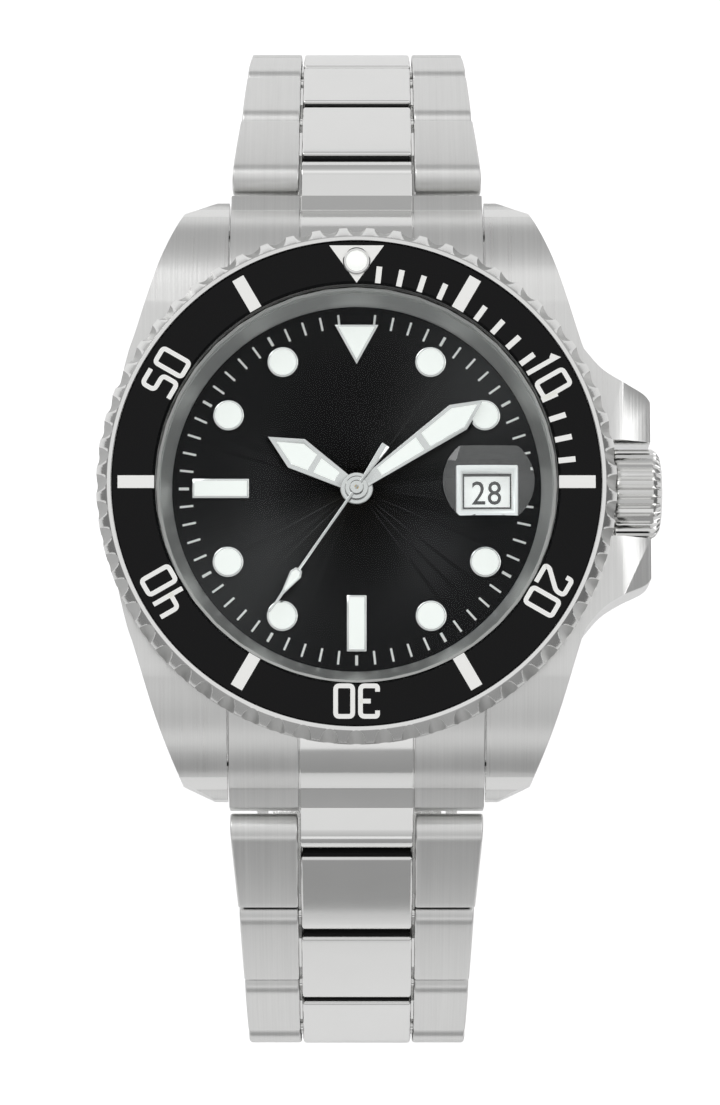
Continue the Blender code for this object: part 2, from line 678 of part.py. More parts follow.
def make_crown():
    """The fluted crown, hollow over its tube, with a socket for the stem."""
    low, high = CROWN_SPAN
    bore, floor = CROWN_BORE
    socket = STEM_RADIUS + FIT
    outline = [
        (bore, low),
        (CROWN_RADIUS - 0.4, low),
        (CROWN_RADIUS, low + 0.3),
        (CROWN_RADIUS, high - 0.9),
        (CROWN_RADIUS - 0.7, high - 0.15),
        (CROWN_RADIUS - 1.6, high),
        (0, high),
        (0, STEM_SPAN[1] + FIT),
        (socket, STEM_SPAN[1] + FIT),
        (socket, floor),
        (bore, floor),
    ]
    look = steel("crown_steel", 0.2)
    crown = turned("crown", outline + [outline[0]], look, CROWN_FLUTES * 2, CROWN_AXES)
    flute(crown, (1, 2), CROWN_RADIUS, CROWN_FLUTES, FLUTE_DEPTH)
    put_at(crown, depth=CROWN_DEPTH)


def make_crown_fittings():
    tube = ring("crown_tube", *TUBE_RADII, *TUBE_SPAN, steel("tube_steel"), SMALL_STEPS, CROWN_AXES)
    rubber = finish("crown_rubber", (0.03, 0.03, 0.03), 0.0, 0.6)
    gasket = ring("crown_gasket", TUBE_RADII[1] + FIT, CROWN_BORE[0] - FIT, 20.2, 20.7, rubber,
                  SMALL_STEPS, CROWN_AXES)
    stem = ring("winding_stem", 0, STEM_RADIUS, *STEM_SPAN, steel("stem_steel"), SMALL_STEPS,
                CROWN_AXES)
    pinion = ring("sliding_pinion", STEM_RADIUS + 0.1, PINION_RADIUS, *PINION_SPAN,
                  steel("clutch_steel"), SMALL_STEPS, CROWN_AXES)
    for piece in (tube, gasket, stem, pinion):
        put_at(piece, depth=CROWN_DEPTH)


# ------------------------------------------------------------------------ bracelet


def rounded_bar(start, end, round_start=False, round_end=False):
    """A bar along a row as (along, outward), with an end rounded about its hinge.

    start and end are the hinge positions of round ends, and the faces of plain ends.
    """
    radius = ROW_RADIUS
    right, left = [(end, -radius), (end, radius)], [(start, radius), (start, -radius)]
    if round_end:
        right = shifted(arc(radius, -90, 90, ROUND_END_STEPS), end, 0)
    if round_start:
        left = shifted(arc(radius, 90, 270, ROUND_END_STEPS), start, 0)
    return right + left


def row_width(number):
    """The bracelet's width at a hinge, falling quickly at first and then hardly at all."""
    return CLASP_WIDTH + TAPER * 0.5**number


def row_arm(name, side, number, look):
    """One outer link: a bar whose outer face follows the taper."""
    inner = CENTRE_WIDTH / 2 + 0.15
    widths = row_width(number) / 2, row_width(number + 1) / 2
    outline = rounded_bar(0, ROW_PITCH - ROW_RADIUS - ROW_GAP, round_start=True)
    arm = extruded(name, outline, inner, widths[0], look, SIDE_AXES)
    for vertex in arm.data.vertices:
        if vertex.co.x > (inner + 0.01) * MM:
            along = vertex.co.z / MM / ROW_PITCH
            vertex.co.x = (widths[0] + (widths[1] - widths[0]) * along) * MM
    if side < 0:
        arm.data.transform(Matrix.Scale(-1, 4, (1, 0, 0)))
        arm.data.flip_normals()
    return arm


def make_row(name, number, carrier, offset, turn, look):
    """One bracelet row: two outer links, the centre link's tongue and its pressed-in pin."""
    reach = ROW_RADIUS + ROW_GAP
    half = CENTRE_WIDTH / 2
    core = extruded(
        name, rounded_bar(reach, ROW_PITCH - reach), -half - 0.3, half + 0.3, look, SIDE_AXES
    )
    tongue = rounded_bar(ROW_PITCH - reach - OVERSHOOT, ROW_PITCH, round_end=True)
    tongue = extruded(name + "_tongue", tongue, -half, half, look, SIDE_AXES)
    arms = [row_arm(f"{name}_arm_{side}", side, number, look) for side in (1, -1)]
    pin_reach = row_width(number + 1) / 2 - FIT
    pin = ring(name + "_pin", 0, PIN_RADIUS, -pin_reach, pin_reach, look, PIN_STEPS, CROWN_AXES)
    pin.location.z = ROW_PITCH * MM
    hole_radius = PIN_RADIUS + PIN_CLEARANCE
    hole_reach = row_width(number) / 2 + OVERSHOOT
    hole = ring(
        name + "_hole", 0, hole_radius, -hole_reach, hole_reach, look, PIN_STEPS, CROWN_AXES
    )
    for tool in (tongue, *arms):
        combine(core, tool, "UNION")
    combine(core, hole)
    combine(core, pin, "UNION")
    for tool in (tongue, *arms, hole, pin):
        tool.parent = core
    core.parent = carrier
    core.location = Vector(offset) * MM
    core.rotation_euler.x = -math.radians(turn)
    return core


def make_side(label, rows, facing):
    """One half of the bracelet, as a chain of rows that each hang on the one before."""
    carrier = bpy.data.objects.new(f"bracelet_{label}", None)
    bpy.context.collection.objects.link(carrier)
    carrier.location = Vector((0, -FIRST_HINGE_DEPTH, facing * FIRST_HINGE_Z)) * MM
    carrier.rotation_euler.y = 0 if facing > 0 else math.pi
    look = steel(f"bracelet_steel_{label}", 0.3)
    offset, before = (0, 0, 0), 0.0
    for number in range(rows):
        turn = ROW_ANGLES[number] - before
        carrier = make_row(f"link_{label}_{number + 1}", number, carrier, offset, turn, look)
        offset, before = (0, 0, ROW_PITCH), ROW_ANGLES[number]
    return carrier


def make_end_link(label, facing):
    """The fixed end link: fills the lug gap and ends in the tongue that carries the first row."""
    look = steel(f"end_link_steel_{label}", 0.3)
    half = LUG_GAP / 2 - 0.12
    reach = ROW_RADIUS + ROW_GAP
    top = [(z, CASE_TOP_DEPTH + drop) for z, drop in LUG_PROFILE]
    end = FIRST_HINGE_Z - reach
    under = CASE_BACK_DEPTH + 0.3
    outline = [(top[0][0], under), (BACK_RADIUS - 0.1, under), (20.0, 1.0), (end, 0.1), (end, 2.6)]
    outline += reversed(top)
    link = extruded(f"end_link_{label}", outline, -half, half, look, SIDE_AXES)
    tongue = [
        (end - 2.2, FIRST_HINGE_DEPTH - ROW_RADIUS),
        *shifted(arc(ROW_RADIUS, -90, 90, ROUND_END_STEPS), FIRST_HINGE_Z, FIRST_HINGE_DEPTH),
        (end - 2.2, FIRST_HINGE_DEPTH + ROW_RADIUS),
    ]
    centre = CENTRE_WIDTH / 2
    tongue = extruded(f"end_tongue_{label}", tongue, -centre, centre, look, SIDE_AXES)
    pin_reach = row_width(0) / 2 - FIT
    pin = ring(f"end_pin_{label}", 0, PIN_RADIUS, -pin_reach, pin_reach, look, PIN_STEPS, CROWN_AXES)
    put_at(pin, depth=FIRST_HINGE_DEPTH, z=FIRST_HINGE_Z)
    case_round = ring(f"case_round_{label}", 0, CASE_BODY_RADIUS + 0.15, -5, 20, look)
    bar_hole = ring(
        f"bar_hole_{label}", 0, SPRING_BAR_RADII[0] + PIN_CLEARANCE, -half - 1, half + 1, look,
        PIN_STEPS, CROWN_AXES,
    )
    put_at(bar_hole, depth=SPRING_BAR_DEPTH, z=SPRING_BAR_Z)
    combine(link, tongue, "UNION")
    combine(link, pin, "UNION")
    combine(link, case_round)
    combine(link, bar_hole)
    for tool in (tongue, pin, case_round, bar_hole):
        tool.parent = link
    link.rotation_euler.y = 0 if facing > 0 else math.pi


def make_spring_bar(label, facing):
    """A sprung bar with thin tips that sit in the lug holes."""
    body, tip = SPRING_BAR_RADII
    shoulder = LUG_GAP / 2 - 0.6
    reach = LUG_GAP / 2 + LUG_HOLE_DEPTH - 0.2
    outline = [(0, -reach), (tip, -reach), (tip, -shoulder), (body, -shoulder), (body, shoulder)]
    outline += [(tip, shoulder), (tip, reach), (0, reach)]
    bar = turned(f"spring_bar_{label}", outline, steel(f"bar_steel_{label}"), PIN_STEPS, CROWN_AXES)
    put_at(bar, depth=SPRING_BAR_DEPTH, z=facing * SPRING_BAR_Z)


# --------------------------------------------------------------------------- clasp


def hinge_point(rows):
    """Where a side's last hinge lies, as (distance from the centre in z, y)."""
    angles = [math.radians(angle) for angle in ROW_ANGLES[:rows]]
    z = FIRST_HINGE_Z + ROW_PITCH * sum(math.cos(angle) for angle in angles)
    y = -FIRST_HINGE_DEPTH + ROW_PITCH * sum(math.sin(angle) for angle in angles)
    return z, y


def clasp_length():
    upper, lower = hinge_point(ROWS_AT_12), hinge_point(ROWS_AT_6)
    return math.hypot(upper[0] + lower[0], upper[1] - lower[1])


def clasp_turn():
    """The clasp's angle from the last upper row, in degrees."""
    upper, lower = hinge_point(ROWS_AT_12), hinge_point(ROWS_AT_6)
    angle = math.degrees(math.atan2(lower[1] - upper[1], -lower[0] - upper[0]))
    return (angle % 360) - ROW_ANGLES[ROWS_AT_12 - 1]


def bowed_point(along, offset):
    """A point (along, outward) on the clasp's bow, offset outward from its hinge line."""
    length = clasp_length()
    radius = (length**2 / 4 + CLASP_RISE**2) / (2 * CLASP_RISE)
    angle = math.asin((along - length / 2) / radius)
    reach = radius + offset
    return length / 2 + reach * math.sin(angle), reach * math.cos(angle) - radius + CLASP_RISE


def bowed_plate(start, end, layer, steps=6):
    """The outline of a bowed plate between two places along the clasp."""
    places = [start + (end - start) * step / steps for step in range(steps + 1)]
    outer = [bowed_point(place, layer[1]) for place in places]
    inner = [bowed_point(place, layer[0]) for place in reversed(places)]
    return outer + inner


def clasp_pivot(name, along, offset, radius, reach, look):
    """A pin or hole across the clasp at one place on its bow."""
    pin = ring(name, 0, radius, -reach, reach, look, PIN_STEPS, CROWN_AXES)
    pin.location = clasp_place(along, offset)
    return pin


def clasp_place(along, offset):
    place = bowed_point(along, offset)
    return Vector((0, -place[1], place[0])) * MM


def attach(part, tools):
    for tool, operation in tools:
        combine(part, tool, operation)
        tool.parent = part


def hang(part, parent, place, parent_place=Vector()):
    """Give a part its own origin at a pivot, both places counted along the clasp."""
    part.data.transform(Matrix.Translation(-place))
    for child in part.children:
        child.location -= place
    part.parent = parent
    part.location = place - parent_place


def make_cover(carrier):
    """The clasp's outer shell: a bowed plate with two side walls, hung on the last upper row."""
    look = steel("clasp_steel", 0.3)
    length = clasp_length()
    half = CLASP_WIDTH / 2 + 0.15
    wall = half - COVER_WALL
    end = length - COVER_END - 0.5
    cover = extruded(
        "clasp_cover", bowed_plate(0.4, end, COVER_LAYER), -half, half, look, SIDE_AXES
    )
    tools = []
    hinge = end - FLAP_LENGTH
    tools = []
    side = bowed_plate(1.5, length - COVER_END + 0.7, (-ROW_RADIUS, 1.9))
    knuckle = arc(ROW_RADIUS, 0, 360, 2 * ROUND_END_STEPS)[:-1]
    web = [(0, -1.3), (2.5, -0.9), (2.5, 1.9), (0.4, 1.9), (0, 1.3)]
    ear = bowed_plate(hinge - 0.7, hinge + 0.7, (COVER_LAYER[1] - 0.3, FLAP_LAYER[1] + 0.2), 2)
    for sign in (1, -1):
        span = sorted((sign * wall, sign * half))
        ear_span = sorted(sign * place for place in EAR_SPAN)
        for label, outline, width in (
            ("wall", side, span), ("lug", knuckle, span), ("web", web, span), ("ear", ear, ear_span)
        ):
            tool = extruded(f"cover_{label}_{sign}", outline, *width, look, SIDE_AXES)
            tools.append((tool, "UNION"))
    flap_middle = sum(FLAP_LAYER) / 2
    blade_middle = sum(OUTER_BLADE_LAYER) / 2
    bar_hole = clasp_pivot("cover_bar_hole", 0, 0, PIN_RADIUS + PIN_CLEARANCE, half + 1, look)
    bar_hole.location = (0, 0, 0)
    blade_hole = clasp_pivot(
        "cover_blade_hole", length - COVER_END, blade_middle, TRUNNION_HOLE, half + 1, look
    )
    flap_hole = clasp_pivot("cover_flap_hole", hinge, flap_middle, TRUNNION_HOLE, 6.5, look)
    tools += [(hole, "DIFFERENCE") for hole in (bar_hole, blade_hole, flap_hole)]
    attach(cover, tools)
    cover.parent = carrier
    cover.location = (0, 0, ROW_PITCH * MM)
    cover.rotation_euler.x = -math.radians(clasp_turn())
    return cover


def make_flap(cover):
    """The safety flap that folds down over the clasp's opening end."""
    look = steel("flap_steel", 0.25)
    end = clasp_length() - COVER_END - 0.5
    start = end - FLAP_LENGTH
    plate = bowed_plate(start, end, FLAP_LAYER, 4)
    flap = extruded("safety_flap", plate, -FLAP_HALF, FLAP_HALF, look, SIDE_AXES)
    place = (start, sum(FLAP_LAYER) / 2)
    trunnion = clasp_pivot("flap_trunnion", *place, TRUNNION_RADIUS, EAR_SPAN[1] - 0.15, look)
    attach(flap, [(trunnion, "UNION")])
    hang(flap, cover, clasp_place(*place))


def make_outer_blade(cover):
    """The blade hinged in the cover's end, forked round the fold's knuckle."""
    look = steel("outer_blade_steel", 0.3)
    along = clasp_length() - COVER_END
    half = BLADE_HALF_WIDTH
    blade = extruded(
        "clasp_outer_blade", bowed_plate(FOLD_START, along, OUTER_BLADE_LAYER), -half, half, look,
        SIDE_AXES,
    )
    fold = bowed_point(FOLD_START, FOLD_OFFSET)
    knuckle = shifted(arc(KNUCKLE_RADIUS, 0, 360, PIN_STEPS)[:-1], *fold)
    fork = KNUCKLE_HALF + RUN
    tools = []
    for sign in (1, -1):
        span = sorted((sign * fork, sign * half))
        tools.append((extruded(f"fork_{sign}", knuckle, *span, look, SIDE_AXES), "UNION"))
    gap = [(fold[0] - 2, fold[1] - 2), (fold[0] + 1.1, fold[1] - 2)]
    gap += [(fold[0] + 1.1, fold[1] + 2), (fold[0] - 2, fold[1] + 2)]
    tools.append((extruded("fork_gap", gap, -fork, fork, look, SIDE_AXES), "DIFFERENCE"))
    hole = clasp_pivot("fold_hole", FOLD_START, FOLD_OFFSET, FOLD_PIN + 0.1, half + 1, look)
    tools.append((hole, "DIFFERENCE"))
    place = (along, sum(OUTER_BLADE_LAYER) / 2)
    trunnion = clasp_pivot("blade_trunnion", *place, TRUNNION_RADIUS, CLASP_WIDTH / 2, look)
    tools.append((trunnion, "UNION"))
    attach(blade, tools)
    hang(blade, cover, clasp_place(*place))
    return blade


def make_inner_blade(outer_blade):
    """The blade next to the wrist: knuckle and pin at the fold, arms at the lower bracelet."""
    look = steel("inner_blade_steel", 0.3)
    length = clasp_length()
    half = BLADE_HALF_WIDTH
    blade = extruded(
        "clasp_inner_blade",
        bowed_plate(FOLD_START + 1.2, length - ROW_RADIUS - ROW_GAP, INNER_BLADE_LAYER),
        -half, half, look, SIDE_AXES,
    )
    fold = bowed_point(FOLD_START, FOLD_OFFSET)
    knuckle = shifted(arc(KNUCKLE_RADIUS, 0, 360, PIN_STEPS)[:-1], *fold)
    neck = bowed_plate(FOLD_START, FOLD_START + 2.0, INNER_BLADE_LAYER, 2)
    middle = (-KNUCKLE_HALF, KNUCKLE_HALF)
    tools = [
        (extruded("fold_knuckle", knuckle, *middle, look, SIDE_AXES), "UNION"),
        (extruded("fold_neck", neck, *middle, look, SIDE_AXES), "UNION"),
        (clasp_pivot("fold_pin", FOLD_START, FOLD_OFFSET, FOLD_PIN, half - 0.1, look), "UNION"),
    ]
    arm = shifted(arc(1.0, -90, 90, ROUND_END_STEPS), length, 0)
    arm += [(length - 3.4, 0.6), (length - 3.4, -0.4)]
    for sign in (1, -1):
        span = sorted((sign * (CENTRE_WIDTH / 2 + 0.2), sign * half))
        tools.append((extruded(f"blade_arm_{sign}", arm, *span, look, SIDE_AXES), "UNION"))
    hole = clasp_pivot("blade_end_hole", 0, 0, PIN_RADIUS + PIN_CLEARANCE, half + 1, look)
    hole.location = (0, 0, length * MM)
    tools.append((hole, "DIFFERENCE"))
    attach(blade, tools)
    hang(blade, outer_blade, clasp_place(FOLD_START, FOLD_OFFSET), outer_blade.location)


def make_bracelet():
    for label, facing in (("12", 1), ("6", -1)):
        make_end_link(label, facing)
        make_spring_bar(label, facing)
    last = make_side("12", ROWS_AT_12, 1)
    make_side("6", ROWS_AT_6, -1)
    cover = make_cover(last)
    make_flap(cover)
    make_inner_blade(make_outer_blade(cover))


def main():
    clear_scene()
    make_mid_case()
    make_case_back()
    make_bezel()
    make_insert()
    make_bezel_springs()
    make_crystal()
    make_magnifier()
    make_dial()
    make_date_frame()
    make_hands()
    make_date_disc()
    make_motion_work()
    make_train()
    make_escapement()
    make_plate()
    make_bridges()
    make_rotor()
    make_crown()
    make_crown_fittings()
    make_bracelet()


main()
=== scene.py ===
"""Looks of the dive watch: its finishes, its detailed pieces, the studio and the camera.

Sizes are in millimetres in the watch's own frame (+Z to 12 o'clock, +X to the crown, dial to
-Y) and become metres when a piece is finished. A depth counts from the case back, so it is -Y.
"""

import json
import logging
import math
from dataclasses import dataclass, field
from enum import Enum
from typing import Any, Callable, Iterable, Mapping, Sequence

import bmesh
import bpy
from mathutils import Matrix, Vector


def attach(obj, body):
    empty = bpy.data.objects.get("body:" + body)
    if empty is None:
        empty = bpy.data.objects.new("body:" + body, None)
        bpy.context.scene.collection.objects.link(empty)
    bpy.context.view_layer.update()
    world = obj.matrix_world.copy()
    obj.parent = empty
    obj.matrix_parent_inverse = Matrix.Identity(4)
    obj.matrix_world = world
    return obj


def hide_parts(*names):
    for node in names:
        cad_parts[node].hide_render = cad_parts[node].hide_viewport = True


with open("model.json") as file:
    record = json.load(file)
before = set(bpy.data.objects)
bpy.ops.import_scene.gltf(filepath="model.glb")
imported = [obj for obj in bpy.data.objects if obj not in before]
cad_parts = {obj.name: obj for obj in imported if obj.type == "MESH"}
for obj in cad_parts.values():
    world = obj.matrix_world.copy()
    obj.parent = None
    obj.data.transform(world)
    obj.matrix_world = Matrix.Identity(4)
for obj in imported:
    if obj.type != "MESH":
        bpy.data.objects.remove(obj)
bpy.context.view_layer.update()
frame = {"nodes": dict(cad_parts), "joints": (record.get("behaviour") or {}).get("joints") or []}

LOG = logging.getLogger("dive_watch")
MM = 0.001
Point = tuple[float, float]
Outline = list[Point]
Shape = bmesh.types.BMesh
Colour = tuple[float, float, float]

# Columns of each matrix say where a shape's own x, y and height go in the watch's frame.
FACE_ON = Matrix(((1, 0, 0, 0), (0, 0, -1, 0), (0, 1, 0, 0), (0, 0, 0, 1)))
SIDE_ON = Matrix(((0, 0, 1, 0), (0, -1, 0, 0), (1, 0, 0, 0), (0, 0, 0, 1)))


# ------------------------------------------------------------------------- shader maths


class Value:
    """A shader socket that takes part in arithmetic and adds its Math nodes as it goes."""

    def __init__(self, graph: "Graph", socket: bpy.types.NodeSocket) -> None:
        """Keep the graph and the socket that holds the number."""
        self.graph = graph
        self.socket = socket

    def _math(self, operation: str, *operands: Any) -> "Value":
        """Return one Math node's result on the operands."""
        inputs = dict(enumerate(operands))
        return self.graph.value("ShaderNodeMath", {"operation": operation}, inputs)

    def __add__(self, other: Any) -> "Value":
        """Return self + other."""
        return self._math("ADD", self, other)

    def __radd__(self, other: Any) -> "Value":
        """Return other + self."""
        return self._math("ADD", other, self)

    def __sub__(self, other: Any) -> "Value":
        """Return self - other."""
        return self._math("SUBTRACT", self, other)

    def __rsub__(self, other: Any) -> "Value":
        """Return other - self."""
        return self._math("SUBTRACT", other, self)

    def __mul__(self, other: Any) -> "Value":
        """Return self * other."""
        return self._math("MULTIPLY", self, other)

    def __rmul__(self, other: Any) -> "Value":
        """Return other * self."""
        return self._math("MULTIPLY", other, self)

    def __pow__(self, other: Any) -> "Value":
        """Return self to the power of other."""
        return self._math("POWER", self, other)

    def angle_to(self, other: "Value") -> "Value":
        """Return the angle of the direction (other, self)."""
        return self._math("ARCTAN2", self, other)


class Graph:
    """A new material or world and the node tree that makes it."""

    def __init__(self, name: str, world: bool = False) -> None:
        """Start an empty tree with its output node.

        Args:
            name: what the material or world is called.
            world: whether the tree belongs to a world.
        """
        self.owner = (bpy.data.worlds if world else bpy.data.materials).new(name)
        self.owner.use_nodes = True
        self.tree = self.owner.node_tree
        self.tree.nodes.clear()
        kind = "ShaderNodeOutputWorld" if world else "ShaderNodeOutputMaterial"
        self.output = self.tree.nodes.new(kind)

    def node(
        self, kind: str, settings: Mapping[str, Any], inputs: Mapping[Any, Any]
    ) -> bpy.types.Node:
        """Add a node.

        Args:
            kind: the node's type name.
            settings: properties set first; "stops" gives a ramp's (place, colour) pairs.
            inputs: socket name or index to a number, colour, Value or socket.

        Returns:
            The new node.
        """
        made = self.tree.nodes.new(kind)
        for name, setting in settings.items():
            if name == "stops":
                for number, (place, colour) in enumerate(setting):
                    stops = made.color_ramp.elements
                    stop = stops[number] if number < len(stops) else stops.new(place)
                    stop.position = place
                    stop.color = (*colour, 1.0)
            else:
                setattr(made, name, setting)
        for name, given in inputs.items():
            if isinstance(given, Value):
                given = given.socket
            if isinstance(given, bpy.types.NodeSocket):
                self.tree.links.new(given, made.inputs[name])
            else:
                made.inputs[name].default_value = given
        return made

    def value(
        self, kind: str, settings: Mapping[str, Any], inputs: Mapping[Any, Any], out: Any = 0
    ) -> Value:
        """Add a node and return one of its outputs as a Value."""
        return Value(self, self.node(kind, settings, inputs).outputs[out])

    def coordinates(self, scale: Sequence[float], at: Sequence[float] = (0, 0, 0)) -> Value:
        """Return the piece's own coordinates in millimetres, moved and then scaled."""
        where = self.node("ShaderNodeTexCoord", {}, {}).outputs["Object"]
        factors = [axis / MM for axis in scale]
        shift = [-axis * factor for axis, factor in zip(at, scale)]
        mapping = {"Vector": where, "Location": shift, "Scale": factors}
        return self.value("ShaderNodeMapping", {}, mapping)

    def noise(self, where: Value, scale: float = 1.0, detail: float = 3.0) -> Value:
        """Return noise of 0 to 1 over the given coordinates."""
        inputs = {"Vector": where, "Scale": scale, "Detail": detail, "Roughness": 0.6}
        return self.value("ShaderNodeTexNoise", {}, inputs)

    def split(self, where: Value) -> tuple[Value, Value, Value]:
        """Return the three parts of a vector."""
        parts = self.node("ShaderNodeSeparateXYZ", {}, {0: where}).outputs
        return Value(self, parts[0]), Value(self, parts[1]), Value(self, parts[2])

    def tones(self, amount: Value, low: Colour, high: Colour) -> Value:
        """Return a colour between two tones."""
        inputs = {0: amount, 6: (*low, 1.0), 7: (*high, 1.0)}
        return self.value("ShaderNodeMix", {"data_type": "RGBA"}, inputs, 2)

    def bump(self, height: Value, strength: float, distance_mm: float) -> Value:
        """Return the normal that a height gives."""
        inputs = {"Height": height, "Strength": strength, "Distance": distance_mm * MM}
        return self.value("ShaderNodeBump", {}, inputs)

    def surface(self, inputs: Mapping[str, Any]) -> bpy.types.Material:
        """Finish the material with a Principled BSDF that has these inputs."""
        return self.ended(self.node("ShaderNodeBsdfPrincipled", {}, inputs))

    def blend(self, factor: Value, first: bpy.types.Node, second: bpy.types.Node) -> bpy.types.Node:
        """Mix two shaders, from the first at a factor of 0 to the second at 1."""
        inputs = {0: factor, 1: first.outputs[0], 2: second.outputs[0]}
        return self.node("ShaderNodeMixShader", {}, inputs)

    def ended(self, last: bpy.types.Node) -> Any:
        """Send the last node to the output and return the material or world."""
        self.tree.links.new(last.outputs[0], self.output.inputs[0])
        return self.owner


def tinted(colour: Colour, factor: float) -> Colour:
    """Return a colour made lighter or darker."""
    return (colour[0] * factor, colour[1] * factor, colour[2] * factor)


# ----------------------------------------------------------------------------- finishes

STEEL: Colour = (0.93, 0.93, 0.92)


@dataclass(frozen=True)
class Brushed:
    """Steel with straight fine lines along the watch."""

    name: str
    colour: Colour = STEEL
    roughness: float = 0.3
    depth: float = 0.02
    lines_per_mm: float = 6.0
    metallic: float = 1.0

    def make(self) -> bpy.types.Material:
        """Build the material: long streaks that change tone, roughness and height."""
        graph = Graph(self.name)
        fine = graph.noise(graph.coordinates((self.lines_per_mm, 0.05, 0.05)), 1.0, 4.0)
        broad = graph.noise(graph.coordinates((0.9, 0.04, 0.04)), 1.0, 2.0)
        streak = fine * 0.7 + broad * 0.3
        return graph.surface(
            {
                "Base Color": graph.tones(streak, tinted(self.colour, 0.78), self.colour),
                "Metallic": self.metallic,
                "Roughness": streak * 0.2 + (self.roughness - 0.1),
                "Normal": graph.bump(fine, 0.6, self.depth),
            }
        )


@dataclass(frozen=True)
class Polished:
    """Metal polished bright, with the faintest hairlines and smears."""

    name: str
    colour: Colour = STEEL
    roughness: float = 0.09

    def make(self) -> bpy.types.Material:
        """Build the material."""
        graph = Graph(self.name)
        smear = graph.noise(graph.coordinates((0.35, 0.35, 0.35)), 1.0, 5.0)
        return graph.surface(
            {
                "Base Color": graph.tones(smear, tinted(self.colour, 0.96), self.colour),
                "Metallic": 1.0,
                "Roughness": smear * 0.05 + (self.roughness - 0.02),
            }
        )


@dataclass(frozen=True)
class Lathed:
    """Metal with circles left by turning, about a line through the given place."""

    name: str
    colour: Colour = STEEL
    roughness: float = 0.25
    about: Sequence[float] = (0.0, 0.0, 0.0)
    lines_per_mm: float = 6.0

    def make(self) -> bpy.types.Material:
        """Build the material: noise over the distance from the axis."""
        graph = Graph(self.name)
        x, _, z = graph.split(graph.coordinates((1, 1, 1), self.about))
        away = (x * x + z * z) ** 0.5
        place = graph.value(
            "ShaderNodeCombineXYZ", {}, {0: away * self.lines_per_mm, 1: 0.0, 2: 0.0}
        )
        circles = graph.noise(place, 1.0, 3.0)
        return graph.surface(
            {
                "Base Color": graph.tones(circles, tinted(self.colour, 0.7), self.colour),
                "Metallic": 1.0,
                "Roughness": circles * 0.14 + (self.roughness - 0.07),
                "Normal": graph.bump(circles, 0.5, 0.015),
            }
        )


@dataclass(frozen=True)
class Sunray:
    """Lacquer over fine lines that run out from the dial's centre, with two beams of painted highlight in its
    colour.
    """

    name: str
    colour: Colour = (0.004, 0.004, 0.0045)
    # The lighter colour of the two painted highlight beams.
    bright: Colour = (0.05, 0.05, 0.051)
    roughness: float = 0.3
    lines: float = 75.0
    # The angle in degrees at which the painted highlight beams lie.
    beam: float = 50.0
    outer: float = 14.6

    def make(self) -> bpy.types.Material:
        """Build the material: noise over the angle for the lines, and two beams of painted highlight in the
        colour.
        """
        graph = Graph(self.name)
        x, _, z = graph.split(graph.coordinates((1, 1, 1)))
        angle = x.angle_to(z)
        away = (x * x + z * z) ** 0.5
        place = graph.value("ShaderNodeCombineXYZ", {}, {0: angle * self.lines, 1: 0.0, 2: 0.0})
        rays = graph.noise(place, 1.0, 2.0)
        # Painted highlight: the colour lightens in two opposite beams round the dial, the same under any
        # lamp.
        painted_beam_wave = graph.value("ShaderNodeMath", {"operation": "COSINE"},
                          {0: (angle - math.radians(self.beam)) * 2.0})
        beam = (painted_beam_wave * 0.5 + 0.5) ** 6.0
        height = rays * away * away * (1.0 / self.outer**2)
        return graph.surface(
            {
                "Base Color": graph.tones(beam * 0.75 + rays * 0.25, self.colour, self.bright),
                "Metallic": 0.9,
                "Roughness": rays * 0.08 + self.roughness,
                "Normal": graph.bump(height, 1.0, 0.02),
            }
        )


@dataclass(frozen=True)
class Solid:
    """An even material with a fine grain: ceramic, lume, ink, rubber or plastic, and an optional painted
    glow.
    """

    name: str
    colour: Colour
    roughness: float
    grain_mm: float = 0.2
    contrast: float = 0.08
    height: float = 0.0
    coat: float = 0.0
    metallic: float = 0.0
    glow: float = 0.0
    shine: float = 0.5

    def make(self) -> bpy.types.Material:
        """Build the material."""
        graph = Graph(self.name)
        scale = 1.0 / self.grain_mm
        grain = graph.noise(graph.coordinates((scale, scale, scale)), 1.0, 3.0)
        dark = tinted(self.colour, 1.0 - self.contrast)
        inputs = {
            "Base Color": graph.tones(grain, dark, self.colour),
            "Specular IOR Level": self.shine,
            "Roughness": grain * 0.06 + self.roughness,
            "Metallic": self.metallic,
            "Coat Weight": self.coat,
            "Coat Roughness": 0.05,
            # Painted light: the emission makes the piece glow in its own colour, brighter than the lamps
            # light it.
            "Emission Color": (*self.colour, 1.0),
            "Emission Strength": self.glow,
        }
        if self.height:
            inputs["Normal"] = graph.bump(grain, 0.4, self.height)
        return graph.surface(inputs)


class GlassKind(Enum):
    """How a clear piece treats what lies behind it."""

    FLAT = "flat"
    LENS = "lens"


@dataclass(frozen=True)
class Clear:
    """Sapphire: a flat crystal that only reflects a little, or a lens that also bends light."""

    name: str
    kind: GlassKind = GlassKind.FLAT
    index: float = 1.77
    sheen: float = 0.14

    def make(self) -> bpy.types.Material:
        """Build the material."""
        graph = Graph(self.name)
        see = graph.node("ShaderNodeBsdfTransparent", {}, {"Color": (0.97, 0.98, 0.98, 1.0)})
        haze = graph.noise(graph.coordinates((0.3, 0.3, 0.3)), 1.0, 2.0)
        if self.kind is GlassKind.FLAT:
            over = graph.node("ShaderNodeBsdfGlossy", {}, {"Roughness": haze * 0.02 + 0.01})
            facing = graph.value("ShaderNodeFresnel", {}, {"IOR": self.index})
            factor = facing * self.sheen
        else:
            glass = {"Roughness": 0.0, "IOR": self.index, "Color": (0.97, 0.98, 0.98, 1.0)}
            over = graph.node("ShaderNodeBsdfGlass", {}, glass)
            shadow = graph.value("ShaderNodeLightPath", {}, {}, "Is Shadow Ray")
            factor = 1.0 - shadow
        return graph.ended(graph.blend(factor, see, over))


# ------------------------------------------------------------------------------ shapes


